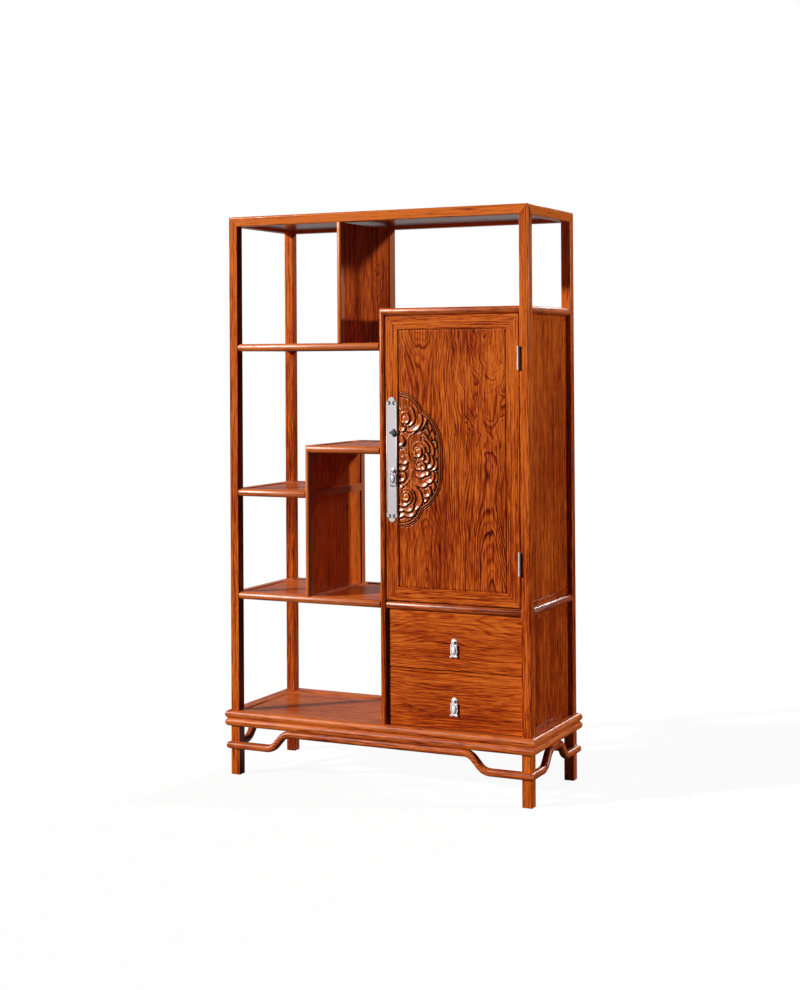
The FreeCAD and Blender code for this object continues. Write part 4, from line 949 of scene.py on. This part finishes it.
LOCK_MIDDLE = (70.5, 1141.0)
LOCK_FACE = -215.0
STILE_FACE = -213.0
DRAWER_FACE = -201.0
PLATE_HALF = 202.0
RIM_PLACE, RIM_HALF, RIM_RADIUS = 18.3, 184.0, 1.5
HOOK_PLACE = (11.0, 194.0)
HOOK_RADIUS, HOOK_SWEEP, HOOK_THICK = 4.8, 240, 5.8
STAPLE_PLACE = (79.0, 1233.0)


def lobed_end(middle, height):
    """The upper half of the lock plate's outline: two side lobes and a tip."""
    start = (middle, height - 10.0)
    lobes = ((10.5, 0.0, 10.0), (-10.5, 0.0, 10.0), (0.0, 10.0, 13.0))
    points = []
    for index in range(49):
        angle = math.pi * index / 48
        way = (math.cos(angle), math.sin(angle))
        reach = 0.0
        for x, z, radius in lobes:
            along = way[0] * x + way[1] * z
            room = along * along - x * x - z * z + radius * radius
            if room >= 0:
                reach = max(reach, along + math.sqrt(room))
        points.append((start[0] + way[0] * reach, start[1] + way[1] * reach))
    return points


def comma(centre, radius, start, stop, thick):
    """A hook-shaped outline that thins towards both ends."""
    outer, inner = [], []
    steps = 12
    for index, (x, z) in enumerate(arc(centre, radius, start, stop, steps)):
        swell = 0.55 + 0.45 * math.sin(math.pi * index / steps)
        out = Vector((x - centre[0], z - centre[1])).normalized() * (thick * 0.5 * swell)
        outer.append((x + out.x, z + out.y))
        inner.append((x - out.x, z - out.y))
    return outer + inner[::-1]


def lock_plate():
    """The plate, its round side rims, and four near-black hook shapes just proud of its ends:
    painted shade that stands for hooks pierced through it.
    """
    x, z = LOCK_MIDDLE
    top = lobed_end(x, z + PLATE_HALF)
    outline = top + [(2 * x - px, 2 * z - pz) for px, pz in top]
    shape = Shape()
    shape.plate(outline, STILE_FACE, LOCK_FACE, 1.0)
    shape.make("lock_plate_piece", WHITE_METAL, "door", "white_metal", "lock_plate")
    rims = Shape()
    for side in (-1, 1):
        line = [(x + RIM_PLACE * side, LOCK_FACE + 0.5, z + RIM_HALF * way) for way in (-1, 1)]
        rims.tube(line, [RIM_RADIUS] * 2)
    rims.make("lock_plate_rims", PULL_METAL, "door", "white_metal")
    # Painted shade: near-black hooks just proud of the plate, where the real plate is pierced.
    hooks = Shape()
    for side in (-1, 1):
        for way in (-1, 1):
            centre = (x + HOOK_PLACE[0] * side, z + HOOK_PLACE[1] * way)
            start = 60 if side > 0 else -120
            hook = comma(centre, HOOK_RADIUS, start, start + HOOK_SWEEP, HOOK_THICK)
            hooks.plate(hook, LOCK_FACE + 0.5, LOCK_FACE - 0.15, 0.1)
    hooks.make("lock_plate_hooks", PAINTED_SHADE_METAL, "door", "white_metal")


def staple():
    """A cloud-shaped foot with a loop that stands out from it."""
    x, z = STAPLE_PLACE
    outline = []
    for index in range(48):
        angle = 2 * math.pi * index / 48
        radius = 9.5 + 2.2 * math.cos(4 * angle)
        outline.append((x + radius * math.cos(angle) * 1.50, z + radius * math.sin(angle) * 1.25))
    shape = Shape()
    shape.plate(outline, LOCK_FACE, LOCK_FACE - 1.8, 0.7)
    path = []
    for index in range(15):
        angle = math.pi * index / 14
        path.append((x + 2.0, LOCK_FACE - 0.6 - 7.2 * math.sin(angle), z - 9.0 * math.cos(angle)))
    shape.tube(path, [1.9] * len(path))
    for end in (-9.0, 9.0):
        profile = ((4.2, 0.0), (4.2, 1.0), (3.2, 2.4), (1.4, 3.2))
        shape.lathe((x + 2.0, LOCK_FACE - 1.4, z + end), (0, -1, 0), profile, 18)
    shape.make("staple_piece", DARK_METAL, "door", "white_metal", "lock_staple")


# The right half of a pendant's outline from its neck down, from the pivot.
PENDANT_EDGE = (
    (3.0, -4.6), (3.0, -6.4), (6.4, -8.2), (10.6, -7.4), (13.2, -9.4), (13.4, -12.0),
    (12.0, -14.6), (11.6, -17.4), (12.6, -23.0), (13.0, -29.0), (12.6, -35.0), (11.2, -40.0),
    (9.2, -43.4), (9.6, -44.8), (12.6, -45.0), (14.4, -47.2), (14.0, -50.4), (11.4, -52.2),
    (8.0, -51.6), (4.6, -50.4),
)
# Turned profiles: pairs of radius and reach.
MOUNT_PROFILE = (
    (11.0, 0.0), (11.0, 1.1), (10.4, 1.8), (9.2, 2.0), (8.2, 1.3), (7.4, 1.3), (6.6, 2.0),
    (0.5, 2.3),
)
EAR_PROFILE = ((1.2, 0.0), (2.6, 0.2), (2.6, 2.0), (1.4, 2.4))
DOME_PROFILE = ((8.2, 0.0), (8.0, 0.8), (6.8, 1.7), (4.4, 2.3), (0.4, 2.6))
EYE_PROFILE = ((1.3, -3.0), (2.5, -2.8), (2.5, 2.8), (1.3, 3.0))
LOW_STUD = ((3.0, 0.0), (2.6, 1.0), (0.3, 1.5))
HIGH_STUD = ((2.6, 0.0), (2.2, 0.9), (0.3, 1.3))
PIVOT_REACH = 5.0
EAR_PLACE = 3.4
DOME_DROP = 28.0


def pull(label, x, z, face, carrier, pendant_body, pendant_metal):
    """A round mount with two ears and a pin, and the pendant that hangs on it."""
    mount = Shape()
    mount.lathe((x, face, z), (0, -1, 0), MOUNT_PROFILE, 36)
    ears = Shape()
    pivot = face - PIVOT_REACH
    for side in (-1, 1):
        near = x + EAR_PLACE * side
        middle = near + 1.1 * side
        ears.lathe((near, pivot, z), (side, 0, 0), EAR_PROFILE, 18)
        ears.tube([(middle, face - 1.6, z), (middle, pivot, z)], [1.6, 1.6], 8)
    ears.tube([(x - 5.6, pivot, z), (x + 5.6, pivot, z)], [1.15, 1.15])
    mount.make(label + "_mount_piece", pendant_metal, carrier, "white_metal", label + "_pull_mount")
    ears.make(label + "_mount_ears", DARK_METAL, carrier, "white_metal")
    body = Shape()
    right = [(x + px, z + pz) for px, pz in PENDANT_EDGE]
    outline = list(reversed(right)) + [(2 * x - px, pz) for px, pz in right]
    body.plate(outline, pivot + 1.2, pivot - 1.2, 0.7)
    body.plate(outline, pivot - 1.1, pivot + 1.2, 0.7)
    front = pivot - 1.1
    body.lathe((x, front, z - DOME_DROP), (0, -1, 0), DOME_PROFILE, 30, (1.0, 1.62))
    for side in (-1, 1):
        body.lathe((x + 10.2 * side, front, z - 48.6), (0, -1, 0), LOW_STUD, 16)
        body.lathe((x + 9.4 * side, front, z - 11.0), (0, -1, 0), HIGH_STUD, 16)
    body.lathe((x, pivot, z), (1, 0, 0), EYE_PROFILE, 18)
    body.tube([(x, pivot, z - 1.8), (x, pivot, z - 6.0)], [2.2, 2.6])
    body_name = "door_pull_pendant" if carrier == "door" else label + "_pendant"
    body.make(label + "_pendant_piece", pendant_metal, pendant_body, "white_metal", body_name)
    trim = Shape()
    path = []
    for index in range(41):
        angle = 2 * math.pi * index / 40
        across, up = 9.4 * math.cos(angle), 14.6 * math.sin(angle)
        path.append((x + across, pivot - 1.2, z - DOME_DROP + up))
    trim.tube(path, [0.75] * len(path), 8)
    trim.make(label + "_pendant_trim", DARK_METAL, pendant_body, "white_metal")


carved_panel()
lock_plate()
staple()
pull("door", 77.0, 1103.0, LOCK_FACE, "door", "door_pendant", WHITE_METAL)
pull("lower_drawer", 295.75, 330.125, DRAWER_FACE, "lower_drawer", "lower_pendant", PULL_METAL)
pull("upper_drawer", 295.75, 528.375, DRAWER_FACE, "upper_drawer", "upper_pendant", PULL_METAL)


# Floor, background and light

# The floor: its colour for bounced light, then its colour and own light as seen directly.
FLOOR_RADIUS = 60.0
FLOOR_BOUNCE = (0.12, 0.12, 0.12, 1.0)
FLOOR_SEEN = (0.09, 0.09, 0.09, 1.0)
FLOOR_OWN_LIGHT = 0.925
# What the polish mirrors: the studio's brightness behind, and its shares in front and to the right.
GLOSS_BEHIND = 0.30
GLOSS_FRONT = 0.16
GLOSS_RIGHT = 0.04
WORLD_LIGHT = 0.045
SUN_DISTANCE = 4.0


def studio_gloss(g, direction):
    """How bright the studio looks in the polish: paler behind, dimmer in front and to the right."""
    x, y, _ = g.separate(direction)
    side = g.smooth(x, -0.20, 0.25, 1.0, GLOSS_RIGHT)
    back = g.smooth(y, -0.40, 0.40, GLOSS_FRONT, 1.0)
    return g.times(g.times(side, back), GLOSS_BEHIND)


def seen_directly(g, path):
    """One for light that reaches the eye straight or through something clear."""
    return g.math("MAXIMUM", path.outputs["Is Camera Ray"], path.outputs["Is Transmission Ray"])


def joined(g, kind, *parts):
    """A node that joins shaders; a part is a node or a socket."""
    item = g.add(kind)
    for socket, part in zip(item.inputs, parts):
        g.put(socket, part.outputs[0] if isinstance(part, bpy.types.Node) else part)
    return item


def floor():
    """A wide matt floor that looks white and takes soft shadows."""
    bpy.ops.mesh.primitive_circle_add(vertices=96, radius=FLOOR_RADIUS, fill_type="NGON")
    piece = bpy.context.object
    piece.name = "studio_floor"
    material = bpy.data.materials.new("studio_floor")
    material.use_nodes = True
    g = Graph(material.node_tree)
    g.nodes.remove(g.nodes["Principled BSDF"])
    sink = g.nodes["Material Output"]
    matt, pale = g.add("ShaderNodeBsdfDiffuse"), g.add("ShaderNodeBsdfDiffuse")
    g.put(matt.inputs["Color"], FLOOR_BOUNCE)
    g.put(pale.inputs["Color"], FLOOR_SEEN)
    glow, mirrored = g.add("ShaderNodeEmission"), g.add("ShaderNodeEmission")
    g.feed(glow, {"Color": WHITE, "Strength": FLOOR_OWN_LIGHT})
    seen = joined(g, "ShaderNodeAddShader", pale, glow)
    direction = g.add("ShaderNodeVectorMath", operation="NORMALIZE")
    g.put(direction.inputs[0], g.add("ShaderNodeNewGeometry").outputs["Position"])
    path = g.add("ShaderNodeLightPath")
    g.put(mirrored.inputs["Strength"], studio_gloss(g, direction.outputs[0]))
    unseen = joined(g, "ShaderNodeMixShader", path.outputs["Is Glossy Ray"], matt, mirrored)
    choose = joined(g, "ShaderNodeMixShader", seen_directly(g, path), unseen, seen)
    g.put(sink.inputs["Surface"], choose.outputs[0])
    piece.data.materials.append(material)


def world():
    """White where it is seen, the studio's brightness where it is mirrored, dim elsewhere."""
    scenery = bpy.data.worlds.new("studio_world")
    bpy.context.scene.world = scenery
    scenery.use_nodes = True
    g = Graph(scenery.node_tree)
    direction = g.add("ShaderNodeTexCoord").outputs["Generated"]
    path = g.add("ShaderNodeLightPath")
    gloss = g.times(path.outputs["Is Glossy Ray"], studio_gloss(g, direction))
    plain = g.times(g.minus(1.0, path.outputs["Is Glossy Ray"]), WORLD_LIGHT)
    strength = g.math("MAXIMUM", seen_directly(g, path), g.plus(gloss, plain))
    g.feed(g.nodes["Background"], {"Color": WHITE, "Strength": strength})


def sun(name, way, strength, spread):
    """A distant lamp; way points from the object to the lamp."""
    lamp = bpy.data.lights.new(name, "SUN")
    lamp.energy = strength
    lamp.angle = math.radians(spread)
    piece = bpy.data.objects.new(name, lamp)
    piece.rotation_euler = Vector(way).to_track_quat("Z", "Y").to_euler()
    piece.location = Vector(way) * SUN_DISTANCE
    bpy.context.collection.objects.link(piece)


floor()
world()
sun("key", (-0.68, -0.62, 0.38), 4.15, 3.0)
sun("side", (0.90, 0.37, 0.22), 1.9, 5.0)
sun("rim", (0.12, 0.87, 0.48), 1.1, 2.0)


# Camera: its place in metres, its angles in radians, its lens and sensor in millimetres

CAMERA_AT = (2.61185, -5.29656, 1.48631)
CAMERA_TURN = 0.434497
CAMERA_PITCH = 0.008268
CAMERA_ROLL = -0.006211
CAMERA_LENS = 60.1451
CAMERA_SENSOR = 36.0
CAMERA_SHIFT = (-0.03978, -0.15156)


def camera():
    data = bpy.data.cameras.new("photo_camera")
    data.lens = CAMERA_LENS
    data.sensor_width = CAMERA_SENSOR
    data.sensor_fit = "AUTO"
    data.shift_x, data.shift_y = CAMERA_SHIFT
    data.dof.use_dof = False
    piece = bpy.data.objects.new("photo_camera", data)
    bpy.context.collection.objects.link(piece)
    forward = Vector((
        -math.sin(CAMERA_TURN) * math.cos(CAMERA_PITCH),
        math.cos(CAMERA_TURN) * math.cos(CAMERA_PITCH),
        math.sin(CAMERA_PITCH),
    ))
    right = Vector((math.cos(CAMERA_TURN), math.sin(CAMERA_TURN), 0.0))
    up = right.cross(forward)
    cos, sin = math.cos(CAMERA_ROLL), math.sin(CAMERA_ROLL)
    right, up = right * cos + up * sin, up * cos - right * sin
    matrix = Matrix((right, up, -forward)).transposed().to_4x4()
    matrix.translation = CAMERA_AT
    piece.matrix_world = matrix
    bpy.context.scene.camera = piece


camera()
bpy.context.scene.view_settings.view_transform = "Standard"
